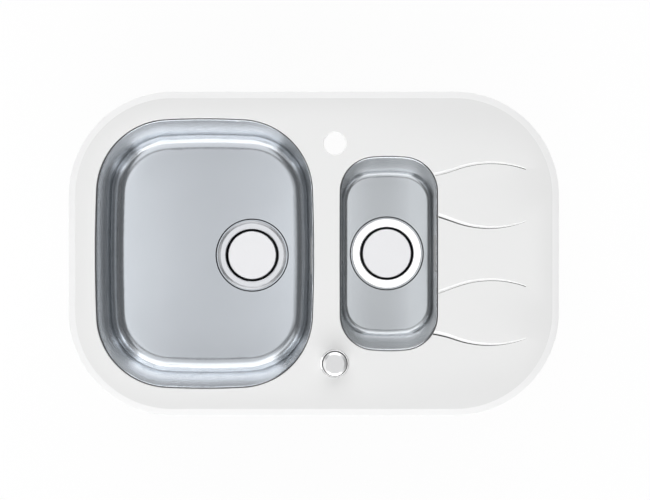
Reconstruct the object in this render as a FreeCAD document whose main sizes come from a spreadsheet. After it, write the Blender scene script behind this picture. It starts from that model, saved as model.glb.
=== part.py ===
import FreeCAD, Part
import math
import os
from types import SimpleNamespace

import Sketcher
from FreeCAD import Placement, Rotation, Vector

# Inset kitchen sink: a glass top with two pressed bowls, a drainer and a pop-up main waste.
# The origin is the centre of the glass outline on the underside of the glass.
# +X runs along the top towards the drainer, +Y to the back and +Z up.
# Driving sizes in millimetres, degrees and counts, one group for each piece or kit.
SIZES = {
    # Glass top, its cut-outs and its holes
    "glass_length": 780,
    "glass_width": 515,
    "glass_thickness": 8,
    "glass_corner": 165,
    "facet_width": 10,
    "facet_drop": 2.2,
    "main_width": 349,
    "main_side_margin": 41.7,
    "main_end_margin": 42.1,
    "main_end_bow": 1210,
    "main_side_bow": 2680,
    "main_corner": 116.6,
    "web_width": 40.4,
    "half_width": 157,
    "half_end_margin": 101.9,
    "half_end_bow": 290,
    "half_side_bow": 20000,
    "half_corner": 56.2,
    "tap_hole": 35,
    "tap_inset": 82.5,
    "tap_offset": 12.6,
    "tap_chamfer": 1.5,
    # Ground grooves of the drainer
    "groove_width": 7,
    "groove_depth": 1,
    "groove_fade": 0.15,
    "inner_groove_bow": 197,
    "near_groove_bow": 190,
    "far_groove_bow": 165,
    "groove_lead": 12,
    # Rim seal, sealant beads and carrier tray
    "rim_seal_thickness": 2,
    "rim_seal_inset": 2.5,
    "rim_seal_width": 9,
    "bond_gap": 1.5,
    "bead_inset": 1,
    "bead_width": 5,
    "tray_sheet": 0.8,
    "tray_inset": 15,
    "tray_lip": 12,
    "tray_clearance": 7,
    "port_margin": 3,
    # Pressed bowls
    "bowl_sheet": 1,
    "opening_inset": 3,
    "flange_reach": 12,
    "shoulder_radius": 3,
    "main_depth": 180,
    "main_draw_side": 8.5,
    "main_draw_end": 17.4,
    "main_floor_corner": 95,
    "main_floor_radius": 25,
    "half_depth": 130,
    "half_draw_side": 1.5,
    "half_draw_end": 19,
    "half_floor_corner": 48,
    "half_floor_radius": 9.5,
    "recess_margin": 4,
    "recess_depth": 3.2,
    "recess_slope": 2,
    "waste_hole_gap": 0.6,
    "main_waste_right": 70.3,
    "main_waste_front": 3,
    # Sound pads
    "pad_thickness": 2,
    "pad_gap": 10,
    "main_pad_length": 180,
    "main_pad_width": 62,
    "half_pad_length": 100,
    "half_pad_width": 34,
    # Overflows
    "slot_length": 49,
    "slot_height": 12,
    "slot_corner": 5,
    "slot_depth": 30,
    "bezel_margin": 5,
    "bezel_sheet": 1.2,
    "bezel_slot_height": 6,
    "bezel_slot_corner": 2.5,
    "gasket_thickness": 2,
    "trap_length": 66,
    "trap_height": 34,
    "trap_reach": 20,
    "trap_wall": 2,
    "spout_radius": 9,
    "spout_wall": 2,
    "spout_length": 16,
    "spout_margin": 1,
    "pipe_wall": 1.5,
    "pipe_gap": 0.2,
    "pipe_bend": 20,
    "pipe_overlap": 12,
    # Basket wastes
    "flange_diameter": 114,
    "flange_sheet": 0.8,
    "flange_crown": 0.6,
    "flange_bevel": 4,
    "cup_diameter": 87.2,
    "cup_depth": 24,
    "cup_taper": 2.5,
    "ledge_width": 10.1,
    "seat_drop": 3.5,
    "drain_count": 8,
    "drain_diameter": 9,
    "seal_thickness": 1.2,
    "seal_width": 8,
    "under_seal_thickness": 3,
    "body_gap": 3.1,
    "body_wall": 3,
    "body_rim_width": 8.5,
    "body_height": 25,
    "body_cone": 16,
    "tail_bore": 40,
    "tail_wall": 3.9,
    "tail_length": 38,
    "neck_wall": 6,
    "neck_length": 24,
    "boss_diameter": 18,
    "boss_height": 14,
    "rib_count": 4,
    "rib_thickness": 3,
    "screw_diameter": 8,
    "screw_head": 17,
    "screw_head_height": 3,
    "screw_length": 17,
    "basket_inset": 0.75,
    "basket_rim": 1.6,
    "basket_taper": 6,
    "basket_top": 5,
    "basket_clear": 1.2,
    "basket_sheet": 0.8,
    "basket_slots": 16,
    "basket_slot_width": 3,
    "basket_slot_height": 10,
    "hub_wall": 3,
    "hub_height": 3.5,
    "post_radius": 7.5,
    "post_height": 9,
    "plug_gap": 1.6,
    "plug_width": 9.4,
    "cover_gap": 3.85,
    "cover_sheet": 1.2,
    "cover_edge": 4,
    "cover_bevel": 0.8,
    "cover_sink": 0.4,
    "stem_radius": 5,
    "stem_gap": 0.3,
    # Lift pin, lever and gland of the pop-up waste
    "pin_diameter": 5,
    "pin_head": 8,
    "pin_head_height": 1,
    "run_gap": 0.06,
    "lever_below": 9.8,
    "lever_arm": 34,
    "lever_width": 5,
    "lever_height": 3,
    "lever_tip": 2,
    "crank_length": 7,
    "axle_radius": 1.5,
    "sleeve_radius": 12,
    "sleeve_wall": 3,
    "sleeve_reach": 46,
    "gland_flange": 3,
    "gland_spigot": 5,
    "gland_nose": 4,
    "gland_length": 13,
    "cable_bore": 1.2,
    # Control knob
    "knob_diameter": 37.5,
    "knob_height": 16,
    "knob_bevel_width": 3.75,
    "knob_bevel": 3,
    "knob_cavity": 3,
    "base_margin": 3.75,
    "base_height": 3,
    "base_bevel": 1,
    "shank_radius": 14,
    "shank_length": 30,
    "spindle_radius": 4,
    "spindle_seat": 10,
    "grub_radius": 1.5,
    "nut_washer_thickness": 2,
    "nut_washer_width": 10,
    "nut_wall": 6.5,
    "nut_height": 7,
    "housing_wall": 3,
    "housing_grip": 6,
    "housing_height": 36,
    "drum_radius": 13,
    "drum_gap": 3,
    "drum_height": 18,
    "drum_groove": 2,
    "lid_thickness": 3,
    # Clamping clips
    "stud_radius": 2.5,
    "stud_length": 60,
    "stud_foot": 1.5,
    "foot_gap": 1,
    "clip_drop": 1.5,
    "nut_travel": 16,
    "wing_hub": 6,
    "wing_height": 8,
    "wing_span": 20,
    "wing_thickness": 2,
    "claw_thickness": 2,
    "claw_width": 12,
    "claw_reach": 30,
    "claw_tip_height": 5,
    "claw_tip_length": 3,
    "thread_gap": 0.1,
    # Gaps between pieces and overruns of cuts
    "seat_gap": 0.3,
    "fit_gap": 0.1,
    "overrun": 2,
}

# Places along the drainer, as shares of its length from the half bowl to the glass edge.
GROOVE_TURN_SHARE = 0.14
GROOVE_PEAK_SHARE = 0.432
GROOVE_END_SHARE = 0.726
# Groove peaks, as shares of half the glass width.
INNER_GROOVE_SHARE = 0.161
OUTER_GROOVE_SHARE = 0.561
# Clip places along the long edges, as shares of half the glass length.
CLIP_SHARES = (-0.49, 0.04, 0.53)
# Ends of the ribs of a waste body, as shares of the height of its cone.
RIB_SHARES = (0.2, 0.6)
# Edges count as lying at a height, and as having a radius, when they are this near to it.
HEIGHT_TOLERANCE = 1e-3
FULL_TURN = 360
HEX_SIDES = 6

doc = FreeCAD.newDocument("kitchen_sink")
sheet = doc.addObject("Spreadsheet::Sheet", "sizes")
for row, (alias, number) in enumerate(SIZES.items(), start=1):
    sheet.set(f"A{row}", alias)
    sheet.set(f"B{row}", str(number))
    sheet.setAlias(f"B{row}", alias)
doc.recompute()

PARTS = {}


class Size:
    """A number together with the sheet formula that gives it."""

    def __init__(self, value, text):
        self.value = float(value)
        self.text = text

    def __add__(self, other):
        other = as_size(other)
        return Size(self.value + other.value, f"({self.text} + {other.text})")

    def __radd__(self, other):
        return as_size(other) + self

    def __sub__(self, other):
        other = as_size(other)
        return Size(self.value - other.value, f"({self.text} - {other.text})")

    def __rsub__(self, other):
        return as_size(other) - self

    def __mul__(self, other):
        other = as_size(other)
        return Size(self.value * other.value, f"({self.text} * {other.text})")

    def __rmul__(self, other):
        return as_size(other) * self

    def __truediv__(self, other):
        other = as_size(other)
        return Size(self.value / other.value, f"({self.text} / {other.text})")

    def __neg__(self):
        return Size(-self.value, f"(-{self.text})")


def as_size(item):
    """A plain number as a Size, and a Size as it is."""
    if isinstance(item, Size):
        return item
    return Size(item, f"({item})")


def root(item):
    return Size(math.sqrt(item.value), f"sqrt({item.text})")


def slope_angle(rise, run):
    """Angle in degrees whose tangent is rise over run."""
    ratio = rise / run
    return Size(math.degrees(math.atan(ratio.value)), f"atan({ratio.text})")


s = SimpleNamespace(**{name: Size(number, f"sizes.{name}") for name, number in SIZES.items()})
NOTHING = as_size(0)


def keep(label, item):
    """Gives a finished piece its label and keeps it for the export."""
    item.Label = label
    PARTS[label] = item
    return item


def place(item, x=NOTHING, y=NOTHING, z=NOTHING, turn=0):
    """Puts an item at a bound position, turned about Z by whole degrees."""
    spot = (x, y, z)
    rotation = Rotation(Vector(0, 0, 1), turn)
    item.Placement = Placement(Vector(*(part.value for part in spot)), rotation)
    for axis, part in zip("xyz", spot):
        item.setExpression(f"Placement.Base.{axis}", part.text)
    return item


def new_body(name):
    return doc.addObject("PartDesign::Body", name + "_body")


def origin_part(body, role):
    return [item for item in body.Origin.OriginFeatures if item.Role == role][0]


def sketch_on(body, role, x=NOTHING, y=NOTHING, z=NOTHING):
    """A sketch on an origin plane of a body, moved by bound distances in that plane's frame."""
    sketch = body.newObject("Sketcher::SketchObject", body.Name + "_sketch")
    sketch.AttachmentSupport = [(origin_part(body, role), "")]
    sketch.MapMode = "FlatFace"
    spot = (x, y, z)
    sketch.AttachmentOffset = Placement(Vector(*(part.value for part in spot)), Rotation())
    for axis, part in zip("xyz", spot):
        sketch.setExpression(f"AttachmentOffset.Base.{axis}", part.text)
    return sketch


def hold(sketch, kind, *members, size):
    """Adds a dimension to a sketch and binds it to the sheet."""
    index = sketch.addConstraint(Sketcher.Constraint(kind, *members, size.value))
    sketch.setExpression(f"Constraints[{index}]", size.text)


def hold_point(sketch, edge, end, x, y):
    """Fixes one point of a sketch edge at bound coordinates."""
    if x is NOTHING:
        sketch.addConstraint(Sketcher.Constraint("PointOnObject", edge, end, -2))
    else:
        hold(sketch, "DistanceX", -1, 1, edge, end, size=x)
    if y is NOTHING:
        sketch.addConstraint(Sketcher.Constraint("PointOnObject", edge, end, -1))
    else:
        hold(sketch, "DistanceY", -1, 1, edge, end, size=y)


def add_line(sketch, start, end):
    points = [Vector(as_size(x).value, as_size(y).value, 0) for x, y in (start, end)]
    return sketch.addGeometry(Part.LineSegment(*points), False)


def add_arc(sketch, x, y, radius, start, end):
    circle = Part.Circle(Vector(x, y, 0), Vector(0, 0, 1), radius)
    return sketch.addGeometry(Part.ArcOfCircle(circle, start, end), False)


def polygon(sketch, points):
    """Closed outline of straight edges through bound points."""
    edges = [add_line(sketch, point, points[(i + 1) % len(points)]) for i, point in enumerate(points)]
    for i, edge in enumerate(edges):
        following = edges[(i + 1) % len(edges)]
        sketch.addConstraint(Sketcher.Constraint("Coincident", edge, 2, following, 1))
    for edge, (x, y) in zip(edges, points):
        hold_point(sketch, edge, 1, x, y)
    return sketch


def circle(sketch, radius, x=NOTHING, y=NOTHING):
    """Circle with a bound radius and centre."""
    centre = Vector(x.value, y.value, 0)
    edge = sketch.addGeometry(Part.Circle(centre, Vector(0, 0, 1), radius.value), False)
    hold_point(sketch, edge, 3, x, y)
    hold(sketch, "Radius", edge, size=radius)
    return sketch


def rounded_rectangle(sketch, half_x, half_y, radius):
    """Rectangle about the sketch origin with four equal round corners."""
    a, b, r = half_x.value, half_y.value, radius.value
    inner_x, inner_y = a - r, b - r
    right = add_line(sketch, (a, -inner_y), (a, inner_y))
    corner = add_arc(sketch, inner_x, inner_y, r, 0, math.pi / 2)
    back = add_line(sketch, (inner_x, b), (-inner_x, b))
    back_left = add_arc(sketch, -inner_x, inner_y, r, math.pi / 2, math.pi)
    left = add_line(sketch, (-a, inner_y), (-a, -inner_y))
    front_left = add_arc(sketch, -inner_x, -inner_y, r, math.pi, 3 * math.pi / 2)
    front = add_line(sketch, (-inner_x, -b), (inner_x, -b))
    front_right = add_arc(sketch, inner_x, -inner_y, r, -math.pi / 2, 0)
    ring = [right, corner, back, back_left, left, front_left, front, front_right]
    for i, edge in enumerate(ring):
        sketch.addConstraint(Sketcher.Constraint("Tangent", edge, 2, ring[(i + 1) % len(ring)], 1))
    for edge in (right, left):
        sketch.addConstraint(Sketcher.Constraint("Vertical", edge))
    for edge in (back, front):
        sketch.addConstraint(Sketcher.Constraint("Horizontal", edge))
    for edge in (back_left, front_left, front_right):
        sketch.addConstraint(Sketcher.Constraint("Equal", corner, edge))
    hold(sketch, "Radius", corner, size=radius)
    hold(sketch, "DistanceX", -1, 1, right, 1, size=half_x)
    hold(sketch, "DistanceX", -1, 1, left, 1, size=-half_x)
    hold(sketch, "DistanceY", -1, 1, back, 1, size=half_y)
    hold(sketch, "DistanceY", -1, 1, front, 1, size=-half_y)
    return sketch


def barrel(sketch, outline):
    """Bowl outline about the sketch origin: four bowed sides joined by tangent corner arcs."""
    a, b = outline.half_x, outline.half_y
    end, side, corner = outline.end_bow, outline.side_bow, outline.corner
    end_y = (b - end).value
    side_x = (a - side).value
    end_reach = (end - corner).value
    side_reach = (side - corner).value
    gap = math.hypot(side_x, end_y)
    along = (end_reach**2 - side_reach**2 + gap**2) / (2 * gap)
    across = math.sqrt(end_reach**2 - along**2)
    unit_x, unit_y = side_x / gap, -end_y / gap
    x = unit_x * along + unit_y * across
    y = end_y + unit_y * along - unit_x * across
    top_angle = math.atan2(y - end_y, x)
    side_angle = math.atan2(y, x - side_x)
    r = corner.value
    ring = [
        add_arc(sketch, side_x, 0, side.value, -side_angle, side_angle),
        add_arc(sketch, x, y, r, side_angle, top_angle),
        add_arc(sketch, 0, end_y, end.value, top_angle, math.pi - top_angle),
        add_arc(sketch, -x, y, r, math.pi - top_angle, math.pi - side_angle),
        add_arc(sketch, -side_x, 0, side.value, math.pi - side_angle, math.pi + side_angle),
        add_arc(sketch, -x, -y, r, math.pi + side_angle, math.pi + top_angle),
        add_arc(sketch, 0, -end_y, end.value, math.pi + top_angle, 2 * math.pi - top_angle),
        add_arc(sketch, x, -y, r, -top_angle, -side_angle),
    ]
    for i, edge in enumerate(ring):
        sketch.addConstraint(Sketcher.Constraint("Tangent", edge, 2, ring[(i + 1) % len(ring)], 1))
    for i in (3, 5, 7):
        sketch.addConstraint(Sketcher.Constraint("Equal", ring[1], ring[i]))
    sketch.addConstraint(Sketcher.Constraint("Equal", ring[0], ring[4]))
    sketch.addConstraint(Sketcher.Constraint("Equal", ring[2], ring[6]))
    hold(sketch, "Radius", ring[0], size=side)
    hold(sketch, "Radius", ring[1], size=corner)
    hold(sketch, "Radius", ring[2], size=end)
    hold_point(sketch, ring[0], 3, a - side, NOTHING)
    hold_point(sketch, ring[4], 3, side - a, NOTHING)
    hold_point(sketch, ring[2], 3, NOTHING, b - end)
    hold_point(sketch, ring[6], 3, NOTHING, end - b)
    return sketch


class Outline:
    """Half sizes, bows and corner radius of a bowl outline, which grow alike when it is offset."""

    def __init__(self, half_x, half_y, end_bow, side_bow, corner):
        self.half_x = half_x
        self.half_y = half_y
        self.end_bow = end_bow
        self.side_bow = side_bow
        self.corner = corner

    def grown(self, by):
        members = (self.half_x, self.half_y, self.end_bow, self.side_bow, self.corner)
        return Outline(*(member + by for member in members))


def feature(body, kind, sketch, **sizes):
    """Adds a sketch feature to a body, with its lengths bound to the sheet."""
    item = body.newObject("PartDesign::" + kind, body.Name + "_" + kind.lower())
    item.Profile = sketch
    for prop, size in sizes.items():
        setattr(item, prop, size.value)
        item.setExpression(prop, size.text)
    return item


def pad(body, sketch, length, both_ways=False):
    item = feature(body, "Pad", sketch, Length=length)
    item.Midplane = both_ways
    return item


def pocket(body, sketch, length, both_ways=False):
    item = feature(body, "Pocket", sketch, Length=length)
    item.Midplane = both_ways
    return item


def pocket_through(body, sketch):
    item = feature(body, "Pocket", sketch)
    item.Type = "ThroughAll"
    item.Midplane = True
    return item


def revolve(body, points, kind="Revolution"):
    """Turns a closed outline of (radius, height) points about the Z axis of a body."""
    sketch = polygon(sketch_on(body, "XZ_Plane"), points)
    item = feature(body, kind, sketch)
    item.ReferenceAxis = (sketch, ["V_Axis"])
    item.Angle = FULL_TURN
    return item


def turned(name, points):
    """A piece made by turning one outline about its Z axis."""
    body = new_body(name)
    revolve(body, points)
    return body


def ring(name, inner, outer, bottom, top):
    """A plain ring about its Z axis."""
    return turned(name, [(inner, bottom), (outer, bottom), (outer, top), (inner, top)])


def polar(body, original, count):
    """Repeats a feature about the Z axis of its body."""
    item = body.newObject("PartDesign::PolarPattern", body.Name + "_polar")
    item.Originals = [original]
    item.Axis = (origin_part(body, "Z_Axis"), [""])
    item.Angle = FULL_TURN
    item.Occurrences = int(count.value)
    item.setExpression("Occurrences", count.text)
    body.Tip = item
    return item


def loft(body, first, last):
    item = body.newObject("PartDesign::AdditiveLoft", body.Name + "_loft")
    item.Profile = first
    item.Sections = [last]
    item.Ruled = True
    return item


def edges_at(shape, height, test=None):
    """Names of the edges that lie wholly at one height and pass a test."""
    found = []
    for index, edge in enumerate(shape.Edges, start=1):
        flat = all(abs(vertex.Z - height.value) < HEIGHT_TOLERANCE for vertex in edge.Vertexes)
        level = abs(edge.BoundBox.ZMax - edge.BoundBox.ZMin) < HEIGHT_TOLERANCE
        if flat and level and (test is None or test(edge)):
            found.append(f"Edge{index}")
    return found


def dress(body, kind, base, edges, size, prop):
    """Adds a fillet or chamfer on named edges of a feature."""
    item = body.newObject("PartDesign::" + kind, body.Name + "_" + kind.lower())
    item.Base = (base, edges)
    setattr(item, prop, size.value)
    item.setExpression(prop, size.text)
    return item


# Places that several pieces share.
half_length = s.glass_length / 2
half_depth_of_glass = s.glass_width / 2
main_x = s.main_side_margin + s.main_width / 2 - half_length
web_x = main_x + s.main_width / 2 + s.web_width / 2
half_x = web_x + s.web_width / 2 + s.half_width / 2
tap_x = web_x + s.tap_offset
tap_y = half_depth_of_glass - s.tap_inset
tray_top = -s.bond_gap
flange_top = tray_top - s.tray_sheet
recess_radius = s.flange_diameter / 2 + s.recess_margin
waste_hole_radius = s.cup_diameter / 2 + s.flange_sheet + s.waste_hole_gap
body_bore_radius = s.cup_diameter / 2 + s.flange_sheet + s.body_gap
knob_washer_radius = s.shank_radius + s.nut_washer_width

MAIN_CUT = Outline(
    s.main_width / 2,
    half_depth_of_glass - s.main_end_margin,
    s.main_end_bow,
    s.main_side_bow,
    s.main_corner,
)
HALF_CUT = Outline(
    s.half_width / 2,
    half_depth_of_glass - s.half_end_margin,
    s.half_end_bow,
    s.half_side_bow,
    s.half_corner,
)


def groove_spine(body, tilt, height):
    """A sketch in a plane that rises slightly towards the glass edge, so that a groove fades out."""
    sketch = body.newObject("Sketcher::SketchObject", "groove_spine")
    sketch.AttachmentSupport = [(origin_part(body, "XY_Plane"), "")]
    sketch.MapMode = "FlatFace"
    offset = Placement(Vector(0, 0, height.value), Rotation(Vector(0, -1, 0), tilt.value))
    sketch.AttachmentOffset = offset
    sketch.setExpression("AttachmentOffset.Base.z", height.text)
    sketch.setExpression("AttachmentOffset.Rotation.Angle", tilt.text)
    return sketch


def groove_cut(body, spine, edges, radius):
    """Grinds a round groove along a spine sketch."""
    doc.recompute()
    profile = body.newObject("Sketcher::SketchObject", "groove_profile")
    profile.AttachmentSupport = [(spine, "Edge1")]
    profile.MapMode = "NormalToEdge"
    circle(profile, radius)
    cut = body.newObject("PartDesign::SubtractivePipe", "groove_cut")
    cut.Profile = profile
    cut.Spine = (spine, edges)
    return cut


def arc_y(centre_y, radius, run, side):
    """Height of a circle at a run from its centre, above it for side 1 and below for side -1."""
    return centre_y + side * root(radius * radius - run * run)


def drainer_grooves(body):
    """Four wavy grooves, two drawn and two mirrored to the front."""
    edge_x = half_x + s.half_width / 2
    drainer = half_length - edge_x
    turn_x = edge_x + GROOVE_TURN_SHARE * drainer
    peak_x = edge_x + GROOVE_PEAK_SHARE * drainer
    end_x = edge_x + GROOVE_END_SHARE * drainer
    inner_start = edge_x - s.groove_lead
    outer_start = inner_start - s.half_corner / 4
    wheel = (s.groove_width * s.groove_width / 4 + s.groove_depth * s.groove_depth) / (2 * s.groove_depth)
    tilt = slope_angle(s.groove_depth - s.groove_fade, end_x - edge_x)
    rise = (s.groove_depth - s.groove_fade) / (end_x - edge_x)
    height = s.glass_thickness + wheel - s.groove_depth - rise * edge_x

    spine = groove_spine(body, tilt, height)
    centre_y = INNER_GROOVE_SHARE * half_depth_of_glass + s.inner_groove_bow
    start = (inner_start, arc_y(centre_y, s.inner_groove_bow, inner_start - peak_x, -1))
    end = (end_x, arc_y(centre_y, s.inner_groove_bow, end_x - peak_x, -1))
    angles = [math.atan2((y - centre_y).value, (x - peak_x).value) for x, y in (start, end)]
    arc = add_arc(spine, peak_x.value, centre_y.value, s.inner_groove_bow.value, *angles)
    hold_point(spine, arc, 3, peak_x, centre_y)
    hold(spine, "Radius", arc, size=s.inner_groove_bow)
    hold(spine, "DistanceX", -1, 1, arc, 1, size=inner_start)
    hold(spine, "DistanceX", -1, 1, arc, 2, size=end_x)
    inner = groove_cut(body, spine, ["Edge1"], wheel)

    spine = groove_spine(body, tilt, height)
    far_y = OUTER_GROOVE_SHARE * half_depth_of_glass - s.far_groove_bow
    turn_y = arc_y(far_y, s.far_groove_bow, turn_x - peak_x, 1)
    stretch = (s.far_groove_bow + s.near_groove_bow) / s.far_groove_bow
    near_x = peak_x + stretch * (turn_x - peak_x)
    near_y = far_y + stretch * (turn_y - far_y)
    start_y = arc_y(near_y, s.near_groove_bow, outer_start - near_x, -1)
    end_y = arc_y(far_y, s.far_groove_bow, end_x - peak_x, 1)
    first = math.atan2((start_y - near_y).value, (outer_start - near_x).value)
    middle = math.atan2((turn_y - near_y).value, (turn_x - near_x).value)
    near = add_arc(spine, near_x.value, near_y.value, s.near_groove_bow.value, first, middle)
    first = math.atan2((end_y - far_y).value, (end_x - peak_x).value)
    far = add_arc(spine, peak_x.value, far_y.value, s.far_groove_bow.value, first, middle + math.pi)
    spine.addConstraint(Sketcher.Constraint("Coincident", near, 2, far, 2))
    hold_point(spine, near, 3, near_x, near_y)
    hold_point(spine, far, 3, peak_x, far_y)
    hold(spine, "Radius", near, size=s.near_groove_bow)
    hold(spine, "DistanceX", -1, 1, near, 1, size=outer_start)
    hold(spine, "DistanceX", -1, 1, near, 2, size=turn_x)
    hold(spine, "DistanceX", -1, 1, far, 1, size=end_x)
    outer = groove_cut(body, spine, ["Edge1", "Edge2"], wheel)

    doc.recompute()
    mirror = body.newObject("PartDesign::Mirrored", "front_grooves")
    mirror.Originals = [inner, outer]
    mirror.MirrorPlane = (origin_part(body, "XZ_Plane"), [""])
    body.Tip = mirror


def glass_top():
    """Safety-glass top with a ground facet all round, two bowl cut-outs, two holes and the drainer."""
    body = new_body("glass_top")
    facet_bottom = s.glass_thickness - s.facet_drop
    pad(body, rounded_rectangle(sketch_on(body, "XY_Plane"), half_length, half_depth_of_glass,
                                s.glass_corner), facet_bottom)
    low = sketch_on(body, "XY_Plane", z=facet_bottom)
    rounded_rectangle(low, half_length, half_depth_of_glass, s.glass_corner)
    high = sketch_on(body, "XY_Plane", z=s.glass_thickness)
    inset = s.facet_width
    rounded_rectangle(high, half_length - inset, half_depth_of_glass - inset, s.glass_corner - inset)
    loft(body, low, high)
    pocket_through(body, barrel(sketch_on(body, "XY_Plane", x=main_x), MAIN_CUT))
    pocket_through(body, barrel(sketch_on(body, "XY_Plane", x=half_x), HALF_CUT))
    holes = sketch_on(body, "XY_Plane")
    circle(holes, s.tap_hole / 2, tap_x, tap_y)
    circle(holes, s.tap_hole / 2, tap_x, -tap_y)
    drilled = pocket_through(body, holes)
    doc.recompute()
    rim = edges_at(drilled.Shape, s.glass_thickness, lambda edge: is_circle(edge, s.tap_hole / 2))
    dress(body, "Chamfer", drilled, rim, s.tap_chamfer, "Size")
    drainer_grooves(body)
    return keep("glass_top", body)


def is_circle(edge, radius):
    curve = edge.Curve
    return curve.TypeId == "Part::GeomCircle" and abs(curve.Radius - radius.value) < HEIGHT_TOLERANCE


def frame_ring(name, inner, outer, bottom, top):
    """Ring between two rounded rectangles, each given by how far it lies inside the glass edge."""
    body = new_body(name)
    sketch = sketch_on(body, "XY_Plane", z=bottom)
    for inset in (outer, inner):
        rounded_rectangle(sketch, half_length - inset, half_depth_of_glass - inset, s.glass_corner - inset)
    pad(body, sketch, top - bottom)
    return body


def rim_seal():
    """Sealing strip between the rim of the glass and the worktop."""
    inner = s.rim_seal_inset + s.rim_seal_width
    keep("rim_seal", frame_ring("rim_seal", inner, s.rim_seal_inset, -s.rim_seal_thickness, NOTHING))


def carrier_tray():
    """Folded sheet tray bonded under the glass, with a turned-down lip and clearance for the bowls."""
    body = new_body("carrier_tray")
    outline = (half_length - s.tray_inset, half_depth_of_glass - s.tray_inset, s.glass_corner - s.tray_inset)
    plate = rounded_rectangle(sketch_on(body, "XY_Plane", z=flange_top), *outline)
    pad(body, plate, s.tray_sheet)
    lip = sketch_on(body, "XY_Plane", z=tray_top - s.tray_lip)
    rounded_rectangle(lip, *outline)
    rounded_rectangle(lip, *(size - s.tray_sheet for size in outline))
    pad(body, lip, s.tray_lip)
    pocket_through(body, barrel(sketch_on(body, "XY_Plane", x=main_x), MAIN_CUT.grown(s.tray_clearance)))
    pocket_through(body, barrel(sketch_on(body, "XY_Plane", x=half_x), HALF_CUT.grown(s.tray_clearance)))
    ports = sketch_on(body, "XY_Plane")
    for side in (1, -1):
        circle(ports, knob_washer_radius + s.port_margin, tap_x, side * tap_y)
    pocket_through(body, ports)
    keep("carrier_tray", body)


def bead(label, cut, x):
    """Sealant bead between the glass and a bowl flange."""
    body = new_body(label)
    sketch = sketch_on(body, "XY_Plane", z=flange_top)
    barrel(sketch, cut.grown(s.bead_inset + s.bead_width))
    barrel(sketch, cut.grown(s.bead_inset))
    pad(body, sketch, -flange_top)
    keep(label, place(body, x=x))


class Bowl:
    """The places and outlines of one pressed bowl in a frame at its centre."""

    def __init__(self, name, cut, x, depth, draw_side, draw_end, floor_corner, floor_radius, waste):
        self.name = name
        self.cut = cut
        self.x = x
        self.opening = cut.grown(-s.opening_inset)
        self.floor_top = flange_top - depth
        self.depth = depth
        self.draw_side = draw_side
        self.draw_end = draw_end
        self.floor_radius = floor_radius
        self.waste_x, self.waste_y = waste
        self.base = Outline(
            self.opening.half_x - draw_side,
            self.opening.half_y - draw_end,
            cut.end_bow,
            cut.side_bow,
            floor_corner,
        )

    def add_shell(self, body, by, top, bottom):
        """Drafted solid of the bowl, its walls moved outwards by a distance, between two heights."""
        first = barrel(sketch_on(body, "XY_Plane", z=top), self.opening.grown(by))
        last = barrel(sketch_on(body, "XY_Plane", z=bottom), self.base.grown(by))
        return loft(body, first, last)

    def wall_x(self, height):
        """Distance of the right wall's inner face from the centre at a height."""
        return self.opening.half_x - self.draw_side * (flange_top - height) / self.depth


MAIN = Bowl("main", MAIN_CUT, main_x, s.main_depth, s.main_draw_side, s.main_draw_end,
            s.main_floor_corner, s.main_floor_radius, (s.main_waste_right, -s.main_waste_front))
HALF = Bowl("half", HALF_CUT, half_x, s.half_depth, s.half_draw_side, s.half_draw_end,
            s.half_floor_corner, s.half_floor_radius, (NOTHING, NOTHING))


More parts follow.
